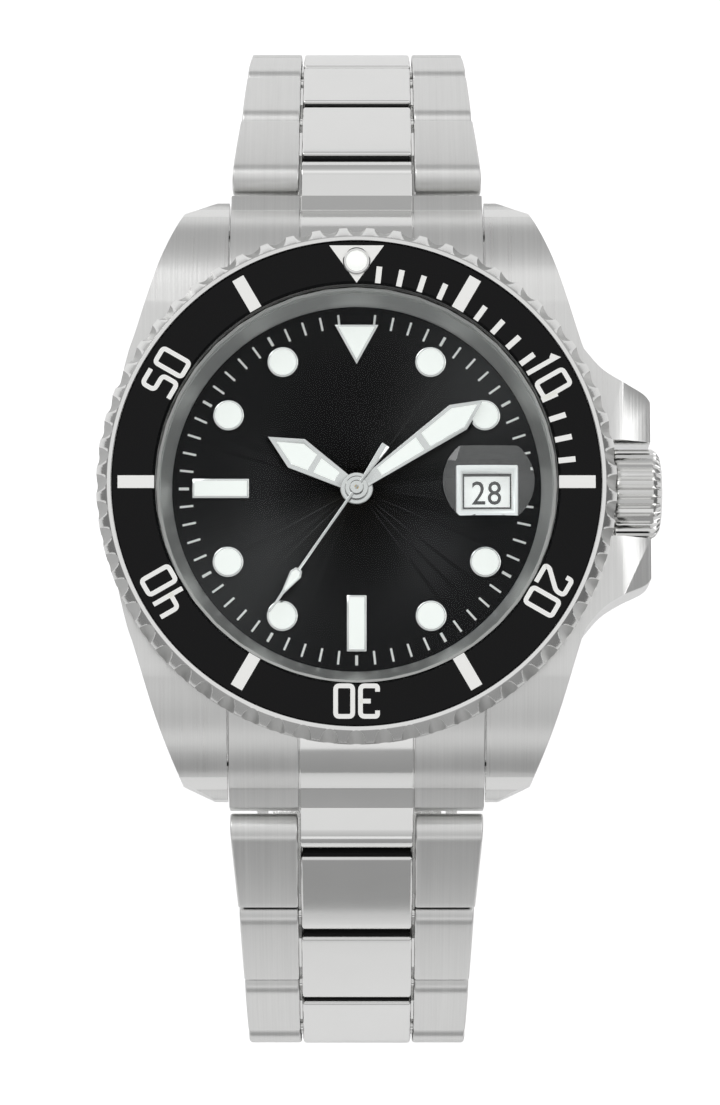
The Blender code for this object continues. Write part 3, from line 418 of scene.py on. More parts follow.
def arc(radius: float, start: float, end: float, steps: int, at: Point = (0, 0)) -> Outline:
    """Return points on a circle, with the angles in degrees."""
    turns = [math.radians(start + (end - start) * step / steps) for step in range(steps + 1)]
    return [(at[0] + radius * math.cos(turn), at[1] + radius * math.sin(turn)) for turn in turns]


def flowing(points: Sequence[Point], steps: int = 6) -> Outline:
    """Return a smooth curve through the points."""
    ends = [points[0], *points, points[-1]]
    curve: Outline = []
    for before, start, end, after in zip(ends, ends[1:], ends[2:], ends[3:]):
        for step in range(steps):
            t = step / steps
            curve.append(
                tuple(
                    0.5
                    * (
                        2 * start[axis]
                        + (end[axis] - before[axis]) * t
                        + (2 * before[axis] - 5 * start[axis] + 4 * end[axis] - after[axis]) * t**2
                        + (3 * start[axis] - before[axis] - 3 * end[axis] + after[axis]) * t**3
                    )
                    for axis in (0, 1)
                )
            )
    return curve + [tuple(points[-1])]


def mirrored(points: Iterable[Point]) -> Outline:
    """Return the other half of an outline, mirrored in its first number."""
    return [(-x, y) for x, y in reversed(list(points))]


def rectangle(half_width: float, low: float, high: float) -> Outline:
    """Return an upright rectangle about x = 0."""
    return [(-half_width, low), (half_width, low), (half_width, high), (-half_width, high)]


def turned(outline: Sequence[Point], steps: int = 160) -> Shape:
    """Spin (radius, height) points once round the height axis into a closed shape."""
    bm = bmesh.new()
    verts = [bm.verts.new((radius, 0.0, height)) for radius, height in outline]
    edges = [bm.edges.new(pair) for pair in zip(verts, verts[1:])]
    if outline[0][0] or outline[-1][0]:
        edges.append(bm.edges.new((verts[-1], verts[0])))
    bmesh.ops.spin(
        bm,
        geom=verts + edges,
        axis=(0, 0, 1),
        cent=(0, 0, 0),
        angle=math.tau,
        steps=steps,
        use_merge=True,
    )
    bmesh.ops.remove_doubles(bm, verts=bm.verts, dist=1e-4)
    bmesh.ops.recalc_face_normals(bm, faces=bm.faces)
    return bm


def prism(outline: Sequence[Point], low: float, high: float) -> Shape:
    """Extrude a closed outline.

    Args:
        outline: the corners, in order, without the first one again.
        low: the height where it starts.
        high: the height where it ends.

    Returns:
        The closed shape.
    """
    bm = bmesh.new()
    face = bm.faces.new([bm.verts.new((x, y, low)) for x, y in outline])
    raised = bmesh.ops.extrude_face_region(bm, geom=[face])["geom"]
    corners = [item for item in raised if isinstance(item, bmesh.types.BMVert)]
    bmesh.ops.translate(bm, verts=corners, vec=(0, 0, high - low))
    bmesh.ops.recalc_face_normals(bm, faces=bm.faces)
    return bm


def soften(bm: Shape, width: float, segments: int = 3, sharp: float = 35.0) -> None:
    """Round a shape's sharp edges.

    Args:
        bm: the shape.
        width: how far from the edge the rounding starts.
        segments: how many faces go across the rounding.
        sharp: the angle in degrees above which an edge counts as sharp.
    """
    limit = math.radians(sharp)
    edges = [edge for edge in bm.edges if edge.calc_face_angle(0.0) > limit]
    bmesh.ops.bevel(
        bm,
        geom=edges,
        offset=width,
        offset_type="OFFSET",
        affect="EDGES",
        segments=segments,
        profile=0.5,
        material=-1,
        clamp_overlap=True,
    )


def joined(parts: Iterable[Shape]) -> Shape:
    """Put several shapes into one mesh."""
    whole = bmesh.new()
    for part in parts:
        carrier = bpy.data.meshes.new("carrier")
        part.to_mesh(carrier)
        part.free()
        whole.from_mesh(carrier)
        bpy.data.meshes.remove(carrier)
    return whole


def painted(bm: Shape, slot: int) -> Shape:
    """Give every face of a shape one material slot."""
    for face in bm.faces:
        face.material_index = slot
    return bm


def placed(bm: Shape, matrix: Matrix) -> Shape:
    """Move a shape by a matrix."""
    bm.transform(matrix)
    return bm


def dialled(degrees: float) -> Matrix:
    """Return the turn that takes 12 o'clock to an angle clockwise from it, before FACE_ON."""
    return Matrix.Rotation(-math.radians(degrees), 4, "Z")


def strip(points: Sequence[Point], width: float, height: tuple[float, float]) -> Shape:
    """Draw a stroke of even width along an open line, mitred at its corners.

    Args:
        points: the stroke's middle line.
        width: the stroke's width.
        height: where the stroke starts and ends in height.

    Returns:
        The stroke as a closed shape.
    """
    spots = [Vector(point) for point in points]
    sides: list[tuple[Vector, Vector]] = []
    for number, spot in enumerate(spots):
        before = (spot - spots[number - 1]).normalized() if number else None
        after = (spots[number + 1] - spot).normalized() if number + 1 < len(spots) else None
        along = ((before or after) + (after or before)).normalized()
        across = Vector((-along.y, along.x))
        lean = across.dot(Vector((-(before or after).y, (before or after).x)))
        sides.append((spot + across * width / 2 / lean, spot - across * width / 2 / lean))
    bm = bmesh.new()
    rails = [(bm.verts.new((*left, height[0])), bm.verts.new((*right, height[0])))
             for left, right in sides]
    faces = [bm.faces.new((a, b, d, c)) for (a, b), (c, d) in zip(rails, rails[1:])]
    raised = bmesh.ops.extrude_face_region(bm, geom=faces)["geom"]
    corners = [item for item in raised if isinstance(item, bmesh.types.BMVert)]
    bmesh.ops.translate(bm, verts=corners, vec=(0, 0, height[1] - height[0]))
    bmesh.ops.recalc_face_normals(bm, faces=bm.faces)
    return bm


def object_of(name: str, bm: Shape, materials: Sequence[bpy.types.Material],
              sharp: float = 30.0) -> bpy.types.Object:
    """Turn a shape in the watch's frame and millimetres into a smooth object in metres."""
    bm.transform(Matrix.Scale(MM, 4))
    mesh = bpy.data.meshes.new(name)
    bm.to_mesh(mesh)
    bm.free()
    for material in materials:
        mesh.materials.append(material)
    mesh.shade_smooth()
    mesh.set_sharp_from_angle(angle=math.radians(sharp))
    item = bpy.data.objects.new(name, mesh)
    bpy.context.scene.collection.objects.link(item)
    return item


def fixed(item: bpy.types.Object) -> bpy.types.Object:
    """Bake an object's modifiers into its mesh."""
    bpy.context.view_layer.update()
    graph = bpy.context.evaluated_depsgraph_get()
    mesh = bpy.data.meshes.new_from_object(item.evaluated_get(graph))
    item.modifiers.clear()
    item.data = mesh
    return item


def cut(item: bpy.types.Object, bm: Shape, operation: str) -> None:
    """Cut, join or trim an object with a shape, which is then thrown away.

    Args:
        item: the object that changes.
        bm: the shape, in millimetres.
        operation: DIFFERENCE, UNION or INTERSECT.
    """
    tool = object_of("tool", bm, [])
    modifier = item.modifiers.new("cut", "BOOLEAN")
    modifier.operation = operation
    modifier.solver = "EXACT"
    modifier.object = tool
    fixed(item)
    bpy.data.objects.remove(tool, do_unlink=True)


def eased(item: bpy.types.Object, width: float, segments: int = 3, sharp: float = 30.0) -> None:
    """Round an object's sharp edges and keep its flats flat."""
    bevel = item.modifiers.new("edge", "BEVEL")
    bevel.width = width * MM
    bevel.segments = segments
    bevel.limit_method = "ANGLE"
    bevel.angle_limit = math.radians(sharp)
    bevel.harden_normals = True
    fixed(item)


def levelled(item: bpy.types.Object) -> bpy.types.Object:
    """Shade an object's broad faces flat, so that only its rounded edges turn the light."""
    weigh = item.modifiers.new("flats", "WEIGHTED_NORMAL")
    weigh.keep_sharp = True
    return fixed(item)


def sit(item: bpy.types.Object, body: str, slot: str, *nodes: str) -> bpy.types.Object:
    """Put a finished piece in its place.

    Args:
        item: the piece.
        body: the body that it rides on.
        slot: the record's material slot; not used.
        nodes: the CAD nodes that it stands for.

    Returns:
        The same piece.
    """
    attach(item, body)
    if nodes:
        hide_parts(*nodes)
    LOG.info("%s rides on %s", item.name, body)
    return item


def copied(node: str, materials: Sequence[bpy.types.Material], width: float) -> bpy.types.Object:
    """Return a copy of a CAD node with its edges rounded."""
    bm = bmesh.new()
    bm.from_mesh(frame["nodes"][node].data)
    bmesh.ops.remove_doubles(bm, verts=bm.verts, dist=1e-7)
    bmesh.ops.dissolve_limit(bm, angle_limit=math.radians(1.0), verts=bm.verts, edges=bm.edges)
    bmesh.ops.recalc_face_normals(bm, faces=bm.faces)
    painted(bm, 0)
    bm.transform(Matrix.Scale(1 / MM, 4))
    item = object_of(node + "_look", bm, materials)
    eased(item, width)
    return item


class Finish(Enum):
    """Every finish on the watch, by what it is used for."""

    LUG_TOP = Brushed("lug_top_brushed")
    LINK = Brushed("link_brushed", roughness=0.32)
    CLASP = Brushed("clasp_brushed", roughness=0.28, lines_per_mm=9.0)
    BLADE = Brushed("blade_steel", tinted(STEEL, 0.92), 0.26, lines_per_mm=12.0)
    POLISH = Polished("mirror_steel")
    CENTRE = Polished("centre_link_polish", roughness=0.1)
    # Painted shade: near-black for the plates that fill the gaps between the links.
    SLOT = Solid("joint_shadow", (0.012, 0.012, 0.012), 0.7, 0.1, 0.3, shine=0.1)
    SCOOP = Brushed("scoop_satin", tinted(STEEL, 0.62), 0.36, lines_per_mm=4.0)
    BEZEL = Polished("bezel_polish", (0.93, 0.93, 0.92), 0.1)
    # Painted light: the date frame glows so that it looks brightly lit.
    DATE_EDGE = Solid(
        "date_frame_satin", (0.93, 0.93, 0.92), 0.34, 0.3, 0.03, metallic=0.6, glow=0.4
    )
    BACK = Lathed("case_back_satin", tinted(STEEL, 0.72), 0.3, lines_per_mm=3.0)
    REHAUT = Lathed("rehaut_satin", tinted(STEEL, 0.95), 0.42)
    CROWN = Polished("crown_polish", tinted(STEEL, 0.92), 0.12)
    CERAMIC = Solid("insert_ceramic", (0.005, 0.005, 0.0055), 0.16, 0.6, 0.3, shine=0.16)
    # Painted light: the insert marks glow faintly so that they look whiter.
    MARK = Solid("insert_mark", (0.92, 0.92, 0.90), 0.34, 0.1, 0.08, 0.004, glow=0.18)
    # Painted light: the last number is a glow that makes the lume whiter than the lamps light it.
    LUME = Solid("lume_white", (0.86, 0.88, 0.85), 0.5, 0.08, 0.06, 0.006, 0.15, 0.0, 0.5)
    DIAL = Sunray("dial_sunray_painted_beams")
    # Painted light: the print glows faintly so that it looks whiter.
    PRINT = Solid("dial_print", (0.90, 0.90, 0.88), 0.45, 0.1, 0.06, 0.002, glow=0.1)
    TRIM = Polished("marker_steel", tinted(STEEL, 0.98), 0.12)
    # Painted light: the date disc glows strongly so that it stays bright under the lens.
    DATE = Solid("date_disc_enamel", (0.9, 0.9, 0.88), 0.5, 0.1, 0.04, 0.002, glow=0.8)
    DATE_INK = Solid("date_ink", (0.012, 0.012, 0.014), 0.4, 0.1, 0.2)
    CRYSTAL = Clear("sapphire_crystal", sheen=0.05)
    LENS = Clear("sapphire_lens", GlassKind.LENS)
    NICKEL = Brushed("nickel_stripes", (0.74, 0.73, 0.70), 0.28, lines_per_mm=1.4)
    GILT = Lathed("gilt_brass", (0.86, 0.66, 0.32), 0.22)
    TUNGSTEN = Lathed("tungsten_rotor", (0.50, 0.49, 0.48), 0.3, (0, 0, 0), 3.0)
    SPRING = Polished("spring_steel_polish", tinted(STEEL, 0.8), 0.16)
    RUBBER = Solid("seal_rubber", (0.02, 0.02, 0.02), 0.6, 0.1, 0.3, 0.01)
    NYLON = Solid("seal_nylon", (0.8, 0.8, 0.78), 0.5, 0.2, 0.05, 0.004)
    HOLDER = Solid("holder_moulding", (0.1, 0.1, 0.11), 0.5, 0.4, 0.06, 0.01)

    def material(self) -> bpy.types.Material:
        """Return this finish's material, made the first time it is asked for."""
        return bpy.data.materials.get(self.value.name) or self.value.make()


def made(
    name: str, bm: Shape, *finishes: Finish, sharp: float = 30.0
) -> bpy.types.Object:
    """Turn a shape into an object that wears these finishes."""
    return object_of(name, bm, [finish.material() for finish in finishes], sharp)


def rounded_line(points: Sequence[Point], radius: float, steps: int = 4) -> Outline:
    """Return an open line whose corners are rounded."""
    line: Outline = [points[0]]
    for before, corner, after in zip(points, points[1:], points[2:]):
        middle = Vector(corner)
        back = (Vector(before) - middle).normalized()
        on = (Vector(after) - middle).normalized()
        reach = min(
            radius,
            0.45 * (Vector(before) - middle).length,
            0.45 * (Vector(after) - middle).length,
        )
        start, end = middle + back * reach, middle + on * reach
        for step in range(steps + 1):
            t = step / steps
            spot = start * (1 - t) ** 2 + middle * 2 * t * (1 - t) + end * t**2
            line.append((spot.x, spot.y))
    return line + [points[-1]]


def around(count: int, make: Callable[[int], Shape], start: float = 0.0) -> Shape:
    """Return shapes set evenly round the dial's centre, clockwise from an angle."""
    turns = [start + 360.0 * number / count for number in range(count)]
    parts = [placed(make(number), dialled(turn)) for number, turn in enumerate(turns)]
    return joined(parts)


# ------------------------------------------------------------------------------- case


@dataclass(frozen=True)
class CaseMiddle:
    """The case middle: round between the lugs, with sloping lugs and crown guards."""

    body_radius: float = 18.6
    half_gap: float = 10.0
    half_length: float = 23.6
    top: float = 8.4
    back: float = 2.2
    neck_radius: float = 16.5
    bore_radius: float = 14.9
    seat_radius: float = 15.45
    crown_depth: float = 5.0
    recess_x: float = 19.3
    flank: tuple[Point, ...] = (
        (19.0, 5.0), (17.8, 10.2), (17.1, 12.4), (15.65, 17.1), (14.6, 19.9), (13.5, 22.4)
    )
    guard: tuple[Point, ...] = (
        (17.6, 10.9), (18.9, 9.4), (20.4, 8.4), (22.2, 7.5), (22.75, 6.9), (22.75, 3.75)
    )
    lug_line: tuple[Point, ...] = (
        (14.5, 0.0), (17.2, -0.5), (19.5, -1.5), (21.5, -3.0), (22.9, -4.9)
    )

    def outline(self) -> Outline:
        """Return the case's outline from the front."""
        start = math.degrees(math.acos(self.half_gap / self.body_radius))
        between = arc(self.body_radius, start, 180 - start, 24)
        tip = [(self.half_gap + 1.0, self.half_length), (self.half_gap, self.half_length)]
        left = list(reversed(tip)) + list(reversed(flowing(self.flank)))
        left = [(-x, z) for x, z in left]
        guard = [
            (self.recess_x, self.guard[-1][1]), self.guard[-1], *reversed(flowing(self.guard[:5]))
        ]
        right = [*flowing(self.flank[1:])[4:], *tip]
        upper = between + left
        return (
            upper
            + [(x, -z) for x, z in reversed(upper)]
            + [(x, -z) for x, z in reversed(right)]
            + [(x, -z) for x, z in reversed(guard)]
            + guard
            + right
        )

    def side(self) -> Outline:
        """Return the case's outline from the side as (z, depth)."""
        line = flowing([(z, self.top + drop) for z, drop in self.lug_line])
        tip = self.half_length
        line += [
            (tip + 0.5, 1.9), (tip + 0.5, 0.7), (tip - 0.8, 0.3), (20.0, 0.8), (18.2, self.back)
        ]
        return line + mirrored(line)

    def build(self) -> None:
        """Cut the case from its two outlines, bore it, and finish its edges."""
        case = made("case_middle", placed(prism(self.outline(), -1, self.top + 1), FACE_ON),
                    Finish.LUG_TOP, Finish.POLISH)
        cut(case, placed(prism(self.side(), -28, 28), SIDE_ON), "INTERSECT")
        slope = prism([(20.2, 8.6), (24.0, 6.2), (24.0, 10.0), (20.2, 10.0)], -12, 12)
        cut(case, placed(slope, Matrix.Rotation(math.pi, 4, "X")), "DIFFERENCE")
        neck = [(13.9, 6.4), (self.neck_radius, 6.4), (self.neck_radius, 10.1), (13.9, 10.1)]
        cut(case, placed(turned(neck), FACE_ON), "UNION")
        bore = [
            (0, 1.2), (17.1, 1.2), (17.1, 2.7), (16.0, 2.7), (16.0, 3.6),
            (self.bore_radius, 3.6), (self.bore_radius, 7.75), (self.seat_radius, 7.75),
            (self.seat_radius, 11.1), (0, 11.1),
        ]
        cut(case, placed(turned(bore), FACE_ON), "DIFFERENCE")
        tube = placed(turned([(0, 12.9), (1.65, 12.9), (1.65, 20.3), (0, 20.3)], 48), SIDE_ON)
        cut(case, placed(tube, Matrix.Translation((0, -self.crown_depth, 0))), "DIFFERENCE")
        for x in (-1, 1):
            for z in (-1, 1):
                hole = turned([(0, 9.0), (0.55, 9.0), (0.55, 16.5), (0, 16.5)], 24)
                hole = placed(hole, SIDE_ON)
                if x < 0:
                    hole = placed(hole, Matrix.Rotation(math.pi, 4, "Z"))
                spot = Matrix.Translation((0, -2.4, z * 21.0))
                cut(case, placed(hole, spot), "DIFFERENCE")
        for face in case.data.polygons:
            face.material_index = 0 if face.normal.y < -0.6 else 1
        bevel = case.modifiers.new("edge", "BEVEL")
        bevel.width = 0.22 * MM
        bevel.segments = 3
        bevel.limit_method = "ANGLE"
        bevel.angle_limit = math.radians(38)
        bevel.harden_normals = True
        bevel.material = 1
        fixed(case)
        sit(case, "case", "steel_case", "mid_case")


@dataclass(frozen=True)
class CaseBack:
    """The screwed case back: a satin middle inside a polished ring with six key notches."""

    radius: float = 17.6
    flat_radius: float = 16.7
    notches: int = 6
    notch_width: float = 2.2

    def build(self) -> None:
        """Turn the back and mill its notches."""
        outline = [
            (0, 0.12), (11.6, 0.12), (11.9, 0.0), (self.flat_radius - 0.1, 0),
            (self.flat_radius, 0.05), (self.radius - 0.05, 0.62), (self.radius, 0.75),
            (self.radius, 1.9), (15.7, 1.9), (15.7, 3.3), (14.6, 3.3), (14.6, 1.2), (0, 1.2),
        ]
        shape = placed(turned(outline, 192), FACE_ON)
        back = made("case_back_shell", shape, Finish.BACK, Finish.POLISH)

        def notch(_: int) -> Shape:
            half, depth = self.notch_width / 2, 0.75
            return prism(rectangle(half, self.radius - 2.6, self.radius + 1.4), -0.5, depth)

        cut(back, placed(around(self.notches, notch), FACE_ON), "DIFFERENCE")
        for face in back.data.polygons:
            away = math.hypot(face.center.x, face.center.z) / MM
            satin = away < self.radius - 2.0 or abs(face.normal.y) > 0.95
            face.material_index = 0 if satin else 1
        eased(back, 0.06, 2, 35)
        sit(back, "case", "steel_back", "case_back")


@dataclass(frozen=True)
class Crown:
    """The screw-down crown with its ribs and domed end."""

    radius: float = 3.5
    start: float = 19.8
    end: float = 23.7
    ribs: int = 30
    rib_depth: float = 0.34
    depth: float = 5.0

    def build(self) -> None:
        """Turn the crown and press in its ribs."""
        outline = [
            (2.0, self.start), (self.radius - 0.35, self.start),
            (self.radius - 0.08, self.start + 0.12), (self.radius, self.start + 0.35),
            (self.radius, self.end - 1.1), (self.radius, self.end - 0.8), (self.radius - 0.2, self.end - 0.5),
            (self.radius - 0.6, self.end - 0.22), (self.radius - 1.2, self.end - 0.08),
            (self.radius - 2.0, self.end - 0.01), (0, self.end), (0, self.start + 2.1),
            (2.0, self.start + 2.1),
        ]
        bm = turned(outline, self.ribs * 10)
        for vertex in bm.verts:
            away = math.hypot(vertex.co.x, vertex.co.y)
            if away > self.radius - 0.5 and vertex.co.z < self.end - 0.4:
                turn = (math.atan2(vertex.co.y, vertex.co.x) * self.ribs / math.tau) % 1.0
                groove = max(0.0, 1.0 - abs(turn - 0.5) / 0.26)
                shrink = 1.0 - self.rib_depth / away * groove**0.6
                vertex.co.x *= shrink
                vertex.co.y *= shrink
        bm = placed(placed(bm, SIDE_ON), Matrix.Translation((0, -self.depth, 0)))
        crown = made("crown_ribbed", bm, Finish.CROWN, sharp=24)
        sit(crown, "winding_crown", "steel_case", "crown")


# ------------------------------------------------------------------------------- bezel


class Digit:
    """Strokes of the bezel's squared numerals in a box of the given width and height."""

    def __init__(self, width: float, height: float, stroke: float) -> None:
        """Keep the box and the stroke."""
        self.half = (width - stroke) / 2
        self.tall = (height - stroke) / 2
        self.stroke = stroke

    def lines(self, digit: str) -> list[Outline]:
        """Return the centre lines of one numeral."""
        w, h = self.half, self.tall
        full = {
            "1": [[(-w * 0.2, h - 0.28), (w * 0.35, h), (w * 0.35, -h - self.stroke / 2)]],
            "2": [[
                (-w, h - 0.5), (-w, h), (w, h), (w, 0.5), (-w, -h + 0.35), (-w, -h), (w + 0.15, -h),
            ]],
            "3": [
                [(-w, h - 0.45), (-w, h), (w, h), (w, -h), (-w, -h), (-w, -h + 0.45)],
                [(-w * 0.2, 0), (w, 0)],
            ],
            "4": [
                [(-w, h + 0.1), (-w, -0.25), (w, -0.25)],
                [(w * 0.72, h + 0.1), (w * 0.72, -h - 0.1)],
            ],
            "5": [[(w, h), (-w, h), (-w, 0.12), (w, 0.12), (w, -h), (-w - 0.05, -h)]],
        }
        if digit == "0":
            side = [(0, h), (w, h), (w, -h), (0, -h)]
            return [side, [(-x, y) for x, y in side]]
        return full[digit]

    def shape(self, digit: str, heights: tuple[float, float]) -> Shape:
        """Return one numeral as raised strokes."""
        parts = []
        for line in self.lines(digit):
            soft = rounded_line(line, 0.34) if len(line) > 2 and digit != "1" else line
            parts.append(strip(soft, self.stroke, heights))
        return joined(parts)


@dataclass(frozen=True)
class Bezel:
    """The turning bezel: a polished ring with scoops, a black insert and its marks."""

    radius: float = 20.0
    low: float = 8.65
    high: float = 11.35
    scoops: int = 60
    scoop_radius: float = 0.8
    insert_outer: float = 18.8
    insert_inner: float = 15.45
    insert_top: float = 11.3
    pip_centre: float = 17.2
    mark_rise: float = 0.012
    numeral: tuple[float, float, float] = (1.66, 2.7, 0.36)
    numeral_centre: float = 16.9

    def ring(self) -> None:
        """Turn the steel ring and cut its scoops from above the rim."""
        seat, inner = 10.4, 16.85
        outline = [
            (inner, self.low), (19.1, self.low), (self.radius - 0.08, self.low + 0.3),
            (self.radius, self.low + 0.5), (self.radius, self.high - 1.0),
            (19.2, self.high - 0.05), (19.12, self.high), (self.insert_outer + 0.05, self.high),
            (self.insert_outer + 0.05, seat), (inner, seat),
        ]
        shape = placed(turned(outline, 360), FACE_ON)
        ring = made("bezel_scooped", shape, Finish.BEZEL, Finish.SCOOP)

        def scoop(_: int) -> Shape:
            tool = bmesh.new()
            bmesh.ops.create_cone(tool, cap_ends=True, segments=28, radius1=self.scoop_radius,
                                  radius2=self.scoop_radius, depth=5.0)
            lean = Matrix.Rotation(math.radians(19), 4, "X")
            return painted(placed(tool, Matrix.Translation((0, 20.32, 10.35)) @ lean), 1)

        cut(ring, placed(around(self.scoops, scoop), FACE_ON), "DIFFERENCE")
        eased(ring, 0.05, 2, 28)
        sit(ring, "bezel", "steel_bezel", "bezel_ring")

    def insert(self) -> None:
        """Turn the black insert with its rounded edges."""
        low, top = self.insert_top - 0.85, self.insert_top
        outline = [
            (self.insert_inner, low), (self.insert_outer, low), (self.insert_outer, top - 0.09),
            (self.insert_outer - 0.09, top), (self.insert_inner + 0.2, top),
            (self.insert_inner, top - 0.2),
        ]
        sit(made("insert_ring", placed(turned(outline, 256), FACE_ON), Finish.CERAMIC), "bezel",
            "ceramic", "bezel_insert")

    def marks(self) -> None:
        """Lay the triangle, the ticks, the bars and the numerals into the insert."""
        heights = (self.insert_top - 0.03, self.insert_top + self.mark_rise)
        parts = [prism([(-2.11, 18.43), (0, 15.5), (2.11, 18.43)], *heights)]
        for minute in (1, 2, 3, 4, 6, 7, 8, 9, 11, 12, 13, 14):
            tick = prism(rectangle(0.215, 15.55, 16.86), *heights)
            parts.append(placed(tick, dialled(minute * 6)))
        for minute in (5, 15, 25, 35, 45, 55):
            bar = prism(rectangle(0.49, 15.5, 18.3), *heights)
            parts.append(placed(bar, dialled(minute * 6)))
        width, height, stroke = self.numeral
        pen = Digit(width, height, stroke)
        for number in (10, 20, 30, 40, 50):
            for place, digit in enumerate(str(number)):
                shift = (place - 0.5) * (width + 0.23)
                spot = Matrix.Translation((shift, self.numeral_centre, 0))
                parts.append(placed(pen.shape(digit, heights), dialled(number * 6) @ spot))
        sit(made("insert_marks", placed(joined(parts), FACE_ON), Finish.MARK), "bezel", "ceramic")

    def pip(self) -> None:
        """Set the luminous pip in its polished ring."""
        top = self.insert_top
        collar = [
            (0.8, top - 0.3), (1.06, top - 0.3), (1.06, top + 0.1), (0.97, top + 0.2),
            (0.8, top + 0.2),
        ]
        pearl = [(0, top - 0.3), (0.8, top - 0.3), (0.8, top + 0.12), (0.6, top + 0.25),
                 (0.3, top + 0.31), (0, top + 0.32)]
        parts = [painted(turned(collar, 64), 0), painted(turned(pearl, 64), 1)]
        bm = placed(joined(parts), FACE_ON @ Matrix.Translation((0, self.pip_centre, 0)))
        sit(made("bezel_pearl", bm, Finish.TRIM, Finish.LUME), "bezel", "lume", "bezel_lume_pip")

    def build(self) -> None:
        """Make every piece of the bezel."""
        self.ring()
        self.insert()
        self.marks()
        self.pip()


# ----------------------------------------------------------------------------- crystal


@dataclass(frozen=True)
class CrystalSet:
    """The flat crystal and the magnifier that is cemented over the date."""

    radius: float = 15.12
    low: float = 9.1
    high: float = 11.5
    lens_x: float = 10.1
    lens_radius: float = 3.5
    lens_half_height: float = 2.7
    lens_base: float = 11.55
    lens_edge: float = 0.26
    lens_rise: float = 0.75

    def build(self) -> None:
        """Grind both clear pieces."""
        outline = [(0, self.low), (self.radius, self.low), (self.radius, self.high - 0.3),
                   (self.radius - 0.3, self.high), (0, self.high)]
        sit(made("crystal_disc", placed(turned(outline, 192), FACE_ON), Finish.CRYSTAL), "case",
            "sapphire", "crystal")
        sag = self.lens_rise - self.lens_edge
        ball = (self.lens_radius**2 + sag**2) / (2 * sag)
        cap = []
        for step in range(25):
            away = self.lens_radius * (1 - step / 24)
            height = self.lens_rise - ball + math.sqrt(ball**2 - away**2)
            cap.append((away, self.lens_base + height))
        lens = turned([(0, self.lens_base), (self.lens_radius, self.lens_base), *cap], 128)
        lens = placed(lens, FACE_ON @ Matrix.Translation((self.lens_x, 0, 0)))
        item = made("date_lens", lens, Finish.LENS, sharp=20)
        slab = prism([(-5, -self.lens_half_height), (25, -self.lens_half_height),
                      (25, self.lens_half_height), (-5, self.lens_half_height)], 11, 13)
        cut(item, placed(slab, FACE_ON), "INTERSECT")
        eased(item, 0.07, 2, 40)
        sit(item, "case", "sapphire", "date_magnifier")


# -------------------------------------------------------------------------------- dial


